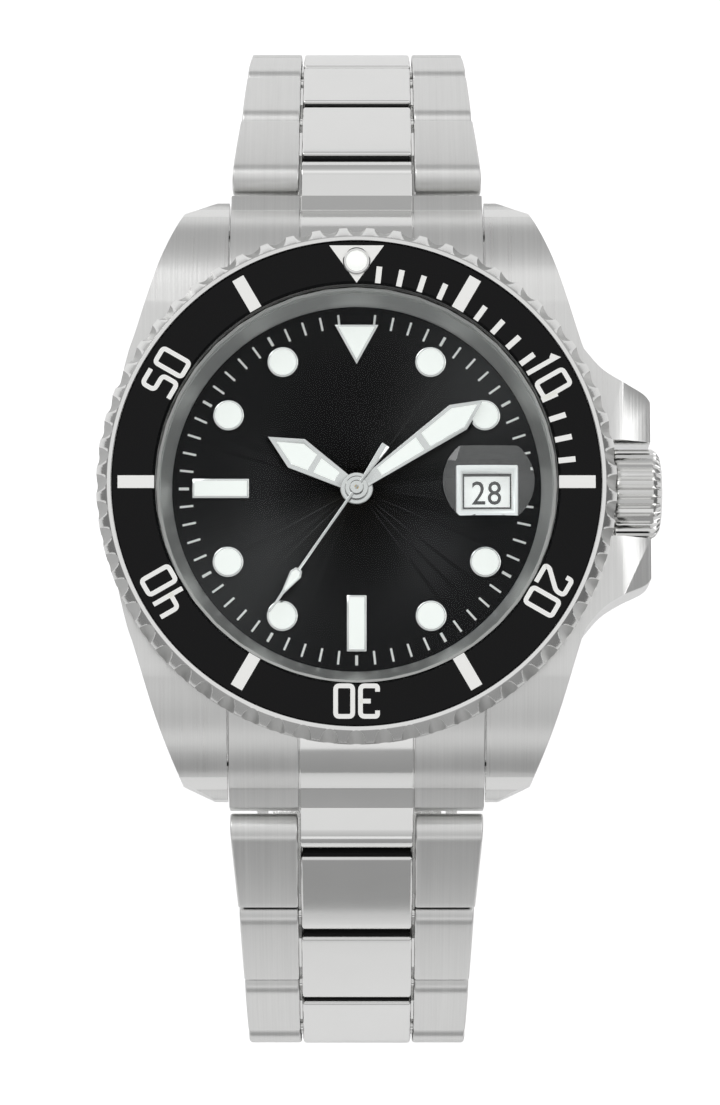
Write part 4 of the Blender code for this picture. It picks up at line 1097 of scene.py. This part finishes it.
@dataclass(frozen=True)
class Dial:
    """The sunray dial, its markers, the date frame, the date disc and the rehaut."""

    radius: float = 14.6
    top: float = 7.7
    thickness: float = 0.4
    rise: float = 0.28
    dot_radius: float = 1.2
    dot_centre: float = 11.45
    date_x: float = 10.1
    window: Point = (2.6, 1.8)
    date_frame: Point = (3.6, 3.0)
    date_shown: int = 28
    days: int = 31

    def plate(self) -> None:
        """Cut the dial plate with its date window."""
        low = self.top - self.thickness
        outline = [(0, low), (self.radius, low), (self.radius, self.top), (0, self.top)]
        plate = made("dial_plate", placed(turned(outline, 192), FACE_ON), Finish.DIAL)
        window = rectangle(self.window[0] / 2, -self.window[1] / 2, self.window[1] / 2)
        tool = placed(prism(window, 6, 9), FACE_ON @ Matrix.Translation((self.date_x, 0, 0)))
        cut(plate, tool, "DIFFERENCE")
        hub = placed(turned([(0, 6), (0.98, 6), (0.98, 9), (0, 9)], 48), FACE_ON)
        cut(plate, hub, "DIFFERENCE")
        sit(plate, "case", "dial_black", "dial")

    def track(self) -> None:
        """Print the minute track."""
        heights = (self.top - 0.01, self.top + 0.012)
        parts = []
        for minute in range(60):
            low = 12.68 if minute % 5 else 12.95
            if minute in (0, 15):
                continue
            half = 0.085 if minute % 5 else 0.11
            tick = prism(rectangle(half, low, 13.73), *heights)
            parts.append(placed(tick, dialled(minute * 6)))
        track = made("minute_track", placed(joined(parts), FACE_ON), Finish.PRINT)
        sit(track, "case", "dial_black")

    def marker(self, outline: Outline, inner: Outline, turn: float) -> Shape:
        """Return one applied marker: a bevelled metal surround and its lume."""
        metal = prism(outline, self.top - 0.02, self.top + self.rise)
        soften(metal, 0.07, 2, 60 if len(outline) < 10 else 50)
        lume = prism(inner, self.top, self.top + self.rise + 0.03)
        soften(lume, 0.03, 1, 60 if len(outline) < 10 else 50)
        whole = joined([painted(metal, 0), painted(lume, 1)])
        return placed(whole, dialled(turn))

    def markers(self) -> None:
        """Apply the hour markers."""
        parts = []
        for hour in (1, 2, 4, 5, 7, 8, 10, 11):
            outer = arc(self.dot_radius, 0, 360, 48, (0, self.dot_centre))[:-1]
            inner = arc(self.dot_radius - 0.17, 0, 360, 48, (0, self.dot_centre))[:-1]
            parts.append(self.marker(outer, inner, hour * 30))
        for hour in (6, 9):
            outer = rectangle(0.77, 8.3, 12.7)
            parts.append(self.marker(outer, rectangle(0.6, 8.47, 12.53), hour * 30))
        outer = [(-1.73, 12.87), (0, 9.7), (1.73, 12.87)]
        inner = [(-1.4, 12.7), (0, 10.13), (1.4, 12.7)]
        parts.append(self.marker([(x, y) for x, y in reversed(outer)],
                                 [(x, y) for x, y in reversed(inner)], 0))
        item = made("hour_markers", placed(joined(parts), FACE_ON), Finish.TRIM, Finish.LUME)
        sit(item, "case", "steel_trim")

    def window_frame(self) -> None:
        """Make the date frame, whose inner walls slope to the opening."""
        width, height = self.date_frame
        spot = FACE_ON @ Matrix.Translation((self.date_x, 0, 0))
        frame_shape = prism(rectangle(width / 2, -height / 2, height / 2), 7.75, 8.05)
        soften(frame_shape, 0.06, 2)
        item = made("date_frame", placed(frame_shape, spot), Finish.DATE_EDGE)
        wide, tall = self.window
        opening = prism(rectangle(wide / 2, -tall / 2, tall / 2), 7.6, 8.15)
        for vertex in opening.verts:
            if vertex.co.z > 8:
                vertex.co.x *= (wide + 0.7) / wide
                vertex.co.y *= (tall + 0.82) / tall
        cut(item, placed(opening, spot), "DIFFERENCE")
        sit(item, "case", "steel_trim", "date_window_frame")

    def date_disc(self) -> None:
        """Turn the date disc and print its numbers, with the shown one in the window."""
        outline = [(7.6, 6.75), (12.4, 6.75), (12.4, 6.95), (7.6, 6.95)]
        parts = [painted(turned(outline, 192), 0)]
        for day in range(1, self.days + 1):
            curve = bpy.data.curves.new("date_text", "FONT")
            curve.body = str(day)
            curve.align_x = "CENTER"
            curve.align_y = "CENTER"
            curve.size = 1.78
            curve.resolution_u = 3
            curve.offset = 0.008
            curve.space_character = 1.04
            text = bpy.data.objects.new("date_text", curve)
            bpy.context.scene.collection.objects.link(text)
            bpy.context.view_layer.update()
            flat = bpy.data.meshes.new_from_object(text)
            bpy.data.objects.remove(text, do_unlink=True)
            letter = bmesh.new()
            letter.from_mesh(flat)
            letter.transform(Matrix.Diagonal((0.92, 1.0, 1.0, 1.0)))
            turn = Matrix.Rotation(-math.tau * (day - self.date_shown) / self.days, 4, "Z")
            spot = turn @ Matrix.Translation((self.date_x, 0, 6.97))
            parts.append(painted(placed(letter, spot), 1))
        item = made("date_ring", placed(joined(parts), FACE_ON), Finish.DATE, Finish.DATE_INK)
        sit(item, "date", "date_white", "date_disc")

    def rehaut(self) -> None:
        """Turn the sloping ring round the dial."""
        outline = [(14.25, 7.82), (15.3, 7.82), (15.3, 9.05), (15.1, 9.05), (14.25, 7.98)]
        ring = made("rehaut_slope", placed(turned(outline, 192), FACE_ON), Finish.REHAUT)
        sit(ring, "case", "steel_trim", "rehaut_ring")

    def build(self) -> None:
        """Make every piece of the dial."""
        self.plate()
        self.track()
        self.markers()
        self.window_frame()
        self.date_disc()
        self.rehaut()


@dataclass(frozen=True)
class Hand:
    """One hand: half of its outline as (half width, radius), and its lume cells."""

    name: str
    body: str
    nodes: tuple[str, ...]
    angle: float
    depths: tuple[float, float]
    half: tuple[Point, ...]
    cells: tuple[tuple[Point, ...], ...]
    hub: float
    hub_top: float

    def build(self) -> None:
        """Cut the hand, its lume cells and its hub."""
        low, high = self.depths
        sides = list(self.half)
        outline = sides + [(-x, y) for x, y in reversed(sides) if x > 0]
        metal = prism(outline, low, high)
        spot = FACE_ON @ dialled(self.angle)
        item = made(self.name, placed(metal, spot), Finish.TRIM, Finish.LUME)
        for cell in self.cells:
            inner = list(cell) + [(-x, y) for x, y in reversed(cell) if x > 0]
            tool = prism(inner, low + 0.04, high + 1)
            cut(item, placed(tool, spot), "DIFFERENCE")
        eased(item, 0.035, 2, 30)
        parts = [bmesh.new()]
        parts[0].from_mesh(item.data)
        parts[0].transform(Matrix.Scale(1 / MM, 4))
        bpy.data.objects.remove(item, do_unlink=True)
        for cell in self.cells:
            inner = list(cell) + [(-x, y) for x, y in reversed(cell) if x > 0]
            lume = painted(prism(inner, low + 0.05, high + 0.012), 1)
            parts.append(placed(lume, spot))
        ring = [(self.hub * 0.3, low), (self.hub, low), (self.hub, self.hub_top - 0.06),
                (self.hub - 0.06, self.hub_top), (self.hub * 0.3, self.hub_top)]
        parts.append(painted(placed(turned(ring, 64), FACE_ON), 0))
        whole = made(self.name, joined(parts), Finish.TRIM, Finish.LUME)
        sit(whole, self.body, "steel_trim", *self.nodes)


def hands() -> list[Hand]:
    """Return the three hands, with their shapes from the hub to the tip."""
    hour = Hand(
        "hour_hand_look", "hour", ("hour_hand",), 300.4, (7.95, 8.12),
        ((0.5, 0.6), (0.62, 1.2), (1.3, 5.4), (0, 7.97)),
        (((0.4, 1.81), (0.62, 3.5)), ((0.7, 4.0), (0.9, 5.25), (0, 7.15))), 1.26, 8.15,
    )
    minute = Hand(
        "minute_hand_look", "minute", ("minute_hand",), 55.0, (8.3, 8.46),
        ((0.42, 0.4), (0.47, 1.2), (1.18, 9.6), (0, 11.97)),
        (((0.33, 2.17), (0.58, 5.97)), ((0.6, 6.53), (0.85, 9.55), (0, 11.3))), 0.92, 8.49,
    )
    second = Hand(
        "seconds_hand_look", "seconds", ("seconds_hand",), 214.6, (8.64, 8.76),
        ((0.33, -4.0), (0.33, -3.6), (0.12, -1.0), (0.11, 7.75), (0.3, 7.8), (0.5, 8.25),
         (0.13, 9.97), (0.06, 11.8)),
        (((0.17, 7.95), (0.33, 8.27), (0.03, 9.7)),), 0.55, 8.79,
    )
    return [hour, minute, second]


# ---------------------------------------------------------------------------- bracelet


def pivot(joint: str) -> Vector:
    """Return a joint's place in millimetres."""
    for entry in frame["joints"]:
        if entry["name"] == joint:
            return Vector(entry["pos_m"]) / MM
    raise KeyError(joint)


@dataclass(frozen=True)
class Links:
    """The sizes that every bracelet row shares."""

    radius: float = 1.35
    gap: float = 0.3
    centre_half: float = 4.36
    arm_inner: float = 4.56
    clasp_width: float = 17.2
    taper: float = 2.3
    bow: float = 0.1
    pin: float = 0.42

    def width(self, number: int) -> float:
        """Return the bracelet's width at a hinge."""
        return self.clasp_width + self.taper * 0.5**number

    def bar(self, start: float, end: float, rounded: Sequence[bool]) -> Outline:
        """Return a bar's side outline as (along, outward), bowed on its outer face."""
        r = self.radius
        low = arc(r, 270, 90, 12, (start, 0)) if rounded[0] else [(start, -r), (start, r)]
        high = arc(r, 90, -90, 12, (end, 0)) if rounded[1] else [(end, r), (end, -r)]
        reach = end - start
        bowed = []
        for step in range(1, 12):
            t = step / 12
            bowed.append((start + reach * t, r + self.bow * 4 * t * (1 - t)))
        return list(reversed(low + bowed + high))


@dataclass(frozen=True)
class BraceletRow:
    """One row: two brushed outer links and a polished centre link on a pin."""

    side: str
    number: int
    start: Vector
    end: Vector
    sizes: Links = field(default_factory=Links)

    def place(self) -> Matrix:
        """Return where (along, outward, across) go."""
        along = (self.end - self.start).normalized()
        across = Vector((1, 0, 0)) if self.side == "12" else Vector((-1, 0, 0))
        outward = across.cross(along)
        turn = Matrix((along, outward, across)).transposed().to_4x4()
        return Matrix.Translation(self.start) @ turn

    def arm(self, sign: int, pitch: float) -> Shape:
        """Return one outer link, tapered on its outer side."""
        sizes = self.sizes
        first, last = sizes.width(self.number - 1) / 2, sizes.width(self.number) / 2
        outline = sizes.bar(0, pitch - sizes.radius - sizes.gap, (True, False))
        bm = prism(outline, sizes.arm_inner, first)
        for vertex in bm.verts:
            if vertex.co.z > sizes.arm_inner + 0.01:
                vertex.co.z = first + (last - first) * vertex.co.x / pitch
        soften(bm, 0.17, 3, 40)
        if sign < 0:
            bmesh.ops.scale(bm, vec=(1, 1, -1), verts=bm.verts)
            bmesh.ops.reverse_faces(bm, faces=bm.faces)
        return painted(bm, 0)

    def build(self) -> None:
        """Make the row."""
        sizes = self.sizes
        pitch = (self.end - self.start).length
        centre = prism(sizes.bar(sizes.radius + sizes.gap, pitch, (False, True)),
                       -sizes.centre_half, sizes.centre_half)
        soften(centre, 0.2, 3, 40)
        low, high = -sizes.radius + 0.1, sizes.radius - 0.35
        # Painted shade: thin near-black plates that fill the gaps between the links, where only shade would
        # show.
        shadow_plates = [
            prism(
                [(pitch - 2.2, low), (pitch - 1.3, low), (pitch - 1.3, high), (pitch - 2.2, high)],
                sign * 4.6 - 0.02, sign * 4.6 + 0.02,
            )
            for sign in (1, -1)
        ]
        outer = sizes.width(self.number) / 2 - 0.3
        for shadow_plate, sign in zip(shadow_plates, (1, -1)):
            for vertex in shadow_plate.verts:
                vertex.co.z = sign * (4.6 if abs(vertex.co.z) < 4.6 else outer)
        shadow_plates.append(prism([(1.42, low), (2.2, low), (2.2, high), (1.42, high)], -4.2, 4.2))
        web = prism([(2.4, -0.7), (pitch - 2.6, -0.7), (pitch - 2.6, 0.7), (2.4, 0.7)], -4.8, 4.8)
        reach = sizes.width(self.number) / 2 + 0.02
        pin = [(0, -reach), (sizes.pin - 0.06, -reach), (sizes.pin, -reach + 0.06),
               (sizes.pin, reach - 0.06), (sizes.pin - 0.06, reach), (0, reach)]
        pin_shape = placed(turned(pin, 24), Matrix.Translation((pitch, 0, 0)))
        parts = [self.arm(1, pitch), self.arm(-1, pitch), painted(centre, 1), painted(web, 1),
                 painted(pin_shape, 1)]
        parts += [painted(shadow_plate, 2) for shadow_plate in shadow_plates]
        name = f"row_{self.side}_{self.number}"
        row = placed(joined(parts), self.place())
        item = made(name + "_look", row, Finish.LINK, Finish.CENTRE, Finish.SLOT)
        sit(levelled(item), name, "steel_bracelet", f"link_{self.side}_{self.number}")


@dataclass(frozen=True)
class EndLink:
    """The fixed end link: two brushed shoulders and a polished middle with thin seams."""

    side: str
    first_hinge: Vector
    case: CaseMiddle = field(default_factory=CaseMiddle)
    sizes: Links = field(default_factory=Links)

    def build(self) -> None:
        """Cut the end link from its side outline."""
        half = self.case.half_gap - 0.12
        z, depth = abs(self.first_hinge.z), -self.first_hinge.y
        end = z - self.sizes.radius - self.sizes.gap
        top = flowing([(x, self.case.top + drop) for x, drop in self.case.lug_line])
        outline = [
            (top[0][0], 2.5), (17.5, 2.5), (20.0, 1.0), (end, 0.1), (end, 2.6), *reversed(top)
        ]
        tongue = [(end - 2.2, depth - 1.35), (end - 2.2, depth + 1.35)]
        tongue += arc(1.35, 90, -90, 14, (z, depth))
        inner = [(x, y - 0.3) for x, y in outline]
        middle = self.sizes.centre_half
        parts = []
        for shape, low, high, slot in (
            (outline, -half, -4.47, 0), (outline, -4.4, 4.4, 1), (outline, 4.47, half, 0),
            (inner, -4.6, 4.6, 1), (tongue, -middle, middle, 1),
        ):
            block = prism(shape, low, high)
            soften(block, 0.1, 2, 40)
            item = object_of("block", placed(painted(block, slot), SIDE_ON), [])
            round_radius = self.case.body_radius + 0.12
            case_round = [(0, -5), (round_radius, -5), (round_radius, 20), (0, 20)]
            cut(item, placed(turned(case_round, 192), FACE_ON), "DIFFERENCE")
            part = bmesh.new()
            part.from_mesh(item.data)
            part.transform(Matrix.Scale(1 / MM, 4))
            parts.append(part)
            bpy.data.objects.remove(item, do_unlink=True)
        item = made(f"end_link_{self.side}_look", joined(parts), Finish.LINK, Finish.CENTRE)
        if self.side == "6":
            item.data.transform(Matrix.Rotation(math.pi, 4, "Y"))
        sit(levelled(item), "case", "steel_bracelet", f"end_link_{self.side}")


@dataclass(frozen=True)
class Bracelet:
    """The bracelet's rows and its folding clasp."""

    rows_12: int = 8
    rows_6: int = 7

    def hinges(self, side: str, rows: int) -> list[Vector]:
        """Return the hinge places of one side, the last one worked out by symmetry."""
        spots = [pivot(f"row_{side}_{number}_bend") for number in range(1, rows + 1)]
        if side == "12":
            return spots + [pivot("cover_bend")]
        last = pivot(f"row_12_{rows + 1}_bend")
        return spots + [Vector((0, last.y, -last.z))]

    def build(self) -> None:
        """Make the end links, the rows and the clasp."""
        for side, rows in (("12", self.rows_12), ("6", self.rows_6)):
            spots = self.hinges(side, rows)
            EndLink(side, spots[0]).build()
            for number, (start, end) in enumerate(zip(spots, spots[1:]), 1):
                BraceletRow(side, number, start, end).build()
        for node, body, finish, width in (
            ("clasp_cover", "cover", Finish.CLASP, 0.12),
            ("safety_flap", "flap", Finish.CLASP, 0.1),
            ("clasp_outer_blade", "outer_blade", Finish.BLADE, 0.08),
            ("clasp_inner_blade", "inner_blade", Finish.BLADE, 0.08),
        ):
            sit(copied(node, [finish.material()], width), body, "steel_clasp", node)


# ---------------------------------------------------------------------------- movement


@dataclass(frozen=True)
class Movement:
    """The inner pieces that keep their own shapes and get their finishes."""

    dressed: tuple[tuple[Finish, tuple[str, ...]], ...] = (
        (Finish.NICKEL, ("main_plate", "train_bridge", "balance_bridge")),
        (Finish.GILT, (
            "balance_wheel", "fourth_wheel", "hour_wheel", "mainspring_barrel", "third_wheel",
        )),
        (Finish.SPRING, (
            "bezel_click_spring", "bezel_retaining_wire", "cannon_pinion", "escape_wheel",
            "pallet_fork", "sliding_pinion", "spring_bar_12", "spring_bar_6", "winding_stem",
        )),
        (Finish.POLISH, ("crown_tube",)),
        (Finish.TUNGSTEN, ("rotor",)),
        (Finish.RUBBER, ("case_back_gasket", "crown_gasket")),
        (Finish.NYLON, ("crystal_gasket",)),
        (Finish.HOLDER, ("movement_holder",)),
    )

    def build(self) -> None:
        """Dress every carried-over piece."""
        for finish, nodes in self.dressed:
            for node in nodes:
                frame["nodes"][node].material_slots[0].material = finish.material()
                LOG.info("%s dressed", node)


# ------------------------------------------------------------------------------ studio


@dataclass(frozen=True)
class Studio:
    """The pale floor that the clasp lies on, the soft light and the camera."""

    floor_y: float = 56.0
    floor_half: float = 900.0
    aim: tuple[float, float, float] = (0.26, -7.7, -4.96)
    distance: float = 395.0
    tilt: float = 8.2
    lens: float = 166.9
    tent_rise: tuple[Point, ...] = (
        (0.0, 0.30), (1.0, 0.40), (0.2, 0.50), (0.42, 0.62), (0.57, 0.78), (0.67, 0.66),
        (0.8, 0.92), (0.92, 0.45),
    )
    tent_sides: tuple[Point, ...] = (
        (0.0, 0.25), (1.0, 0.2), (0.12, 0.6), (0.3, 1.0), (0.72, 1.0), (0.88, 0.5)
    )

    def floor(self) -> None:
        """Lay the floor behind the watch, clear when seen from below."""
        bm = bmesh.new()
        bmesh.ops.create_grid(bm, x_segments=8, y_segments=8, size=self.floor_half)
        bm = placed(bm, Matrix.Translation((0, self.floor_y, 0)) @ FACE_ON)
        graph = Graph("floor_paint")
        tone = graph.noise(graph.coordinates((0.01, 0.01, 0.01)), 1.0, 2.0)
        colour = graph.tones(tone, (0.90, 0.90, 0.90), (0.93, 0.93, 0.93))
        matt = graph.node("ShaderNodeBsdfDiffuse", {}, {"Color": colour})
        seen = graph.value("ShaderNodeLightPath", {}, {}, "Is Camera Ray")
        lit = graph.node("ShaderNodeEmission", {}, {"Strength": seen * 0.5 + 0.12})
        panel = graph.node("ShaderNodeAddShader", {}, {0: matt.outputs[0], 1: lit.outputs[0]})
        clear = graph.node("ShaderNodeBsdfTransparent", {}, {})
        behind = graph.value("ShaderNodeNewGeometry", {}, {}, "Backfacing")
        paint = graph.ended(graph.blend(behind, panel, clear))
        object_of("studio_floor", bm, [paint])

    def light(
        self, name: str, place: Sequence[float], size: Sequence[float], power: float
    ) -> None:
        """Hang a soft box that faces the watch."""
        lamp = bpy.data.lights.new(name, "AREA")
        lamp.shape = "RECTANGLE"
        lamp.size, lamp.size_y = size[0] * MM, size[1] * MM
        lamp.energy = power
        item = bpy.data.objects.new(name, lamp)
        item.location = Vector(place) * MM
        item.rotation_euler = (-Vector(place)).to_track_quat("-Z", "Y").to_euler()
        bpy.context.scene.collection.objects.link(item)

    def ramp(self, graph: Graph, part: Value, stops: Sequence[Point]) -> Value:
        """Return a grey that follows one part of a direction, from -1 to 1."""
        place = graph.value("ShaderNodeMapRange", {}, {"Value": part, "From Min": -1.0})
        greys = [(spot, (grey, grey, grey)) for spot, grey in stops]
        return graph.value("ShaderNodeValToRGB", {"stops": greys}, {0: place})

    def world(self) -> None:
        """Surround the watch with a soft tent, lighter above than below."""
        graph = Graph("tent", world=True)
        where = graph.value("ShaderNodeTexCoord", {}, {}, "Generated")
        across, _, rise = graph.split(where)
        tone = graph.value(
            "ShaderNodeMix",
            {"data_type": "RGBA", "blend_type": "MULTIPLY"},
            {0: 1.0, 6: self.ramp(graph, rise, self.tent_rise),
             7: self.ramp(graph, across, self.tent_sides)},
            2,
        )
        tent = graph.node("ShaderNodeBackground", {}, {0: tone})
        pale = graph.node("ShaderNodeBackground", {}, {0: (1.0, 1.0, 1.0, 1.0)})
        seen = graph.value("ShaderNodeLightPath", {}, {}, "Is Camera Ray")
        bpy.context.scene.world = graph.ended(graph.blend(seen, tent, pale))

    def camera(self) -> None:
        """Set the camera in front of the dial and a little towards 6 o'clock."""
        lens = bpy.data.cameras.new("camera")
        lens.sensor_fit = "VERTICAL"
        lens.sensor_height = 36.0
        lens.lens = self.lens
        lens.clip_start = 0.01
        item = bpy.data.objects.new("camera", lens)
        tilt = math.radians(self.tilt)
        away = Vector((0, -math.cos(tilt), -math.sin(tilt)))
        item.location = (Vector(self.aim) + away * self.distance) * MM
        item.rotation_euler = (-away).to_track_quat("-Z", "Y").to_euler()
        bpy.context.scene.collection.objects.link(item)
        bpy.context.scene.camera = item

    def build(self) -> None:
        """Set up the studio."""
        self.floor()
        self.world()
        self.light("key_box", (-260, -330, 300), (300, 220), 0.42)
        self.light("fill_box", (300, -300, 40), (160, 320), 0.2)
        self.light("low_box", (-40, -240, -330), (320, 120), 0.05)
        self.camera()
        bpy.context.scene.view_settings.view_transform = "Standard"


def main() -> None:
    """Build the watch, dress it and set up its studio."""
    logging.basicConfig(level=logging.INFO, format="%(name)s: %(message)s")
    Studio().build()
    CaseMiddle().build()
    CaseBack().build()
    Crown().build()
    Bezel().build()
    CrystalSet().build()
    Dial().build()
    for hand in hands():
        hand.build()
    Bracelet().build()
    Movement().build()


if __name__ == "__main__":
    main()
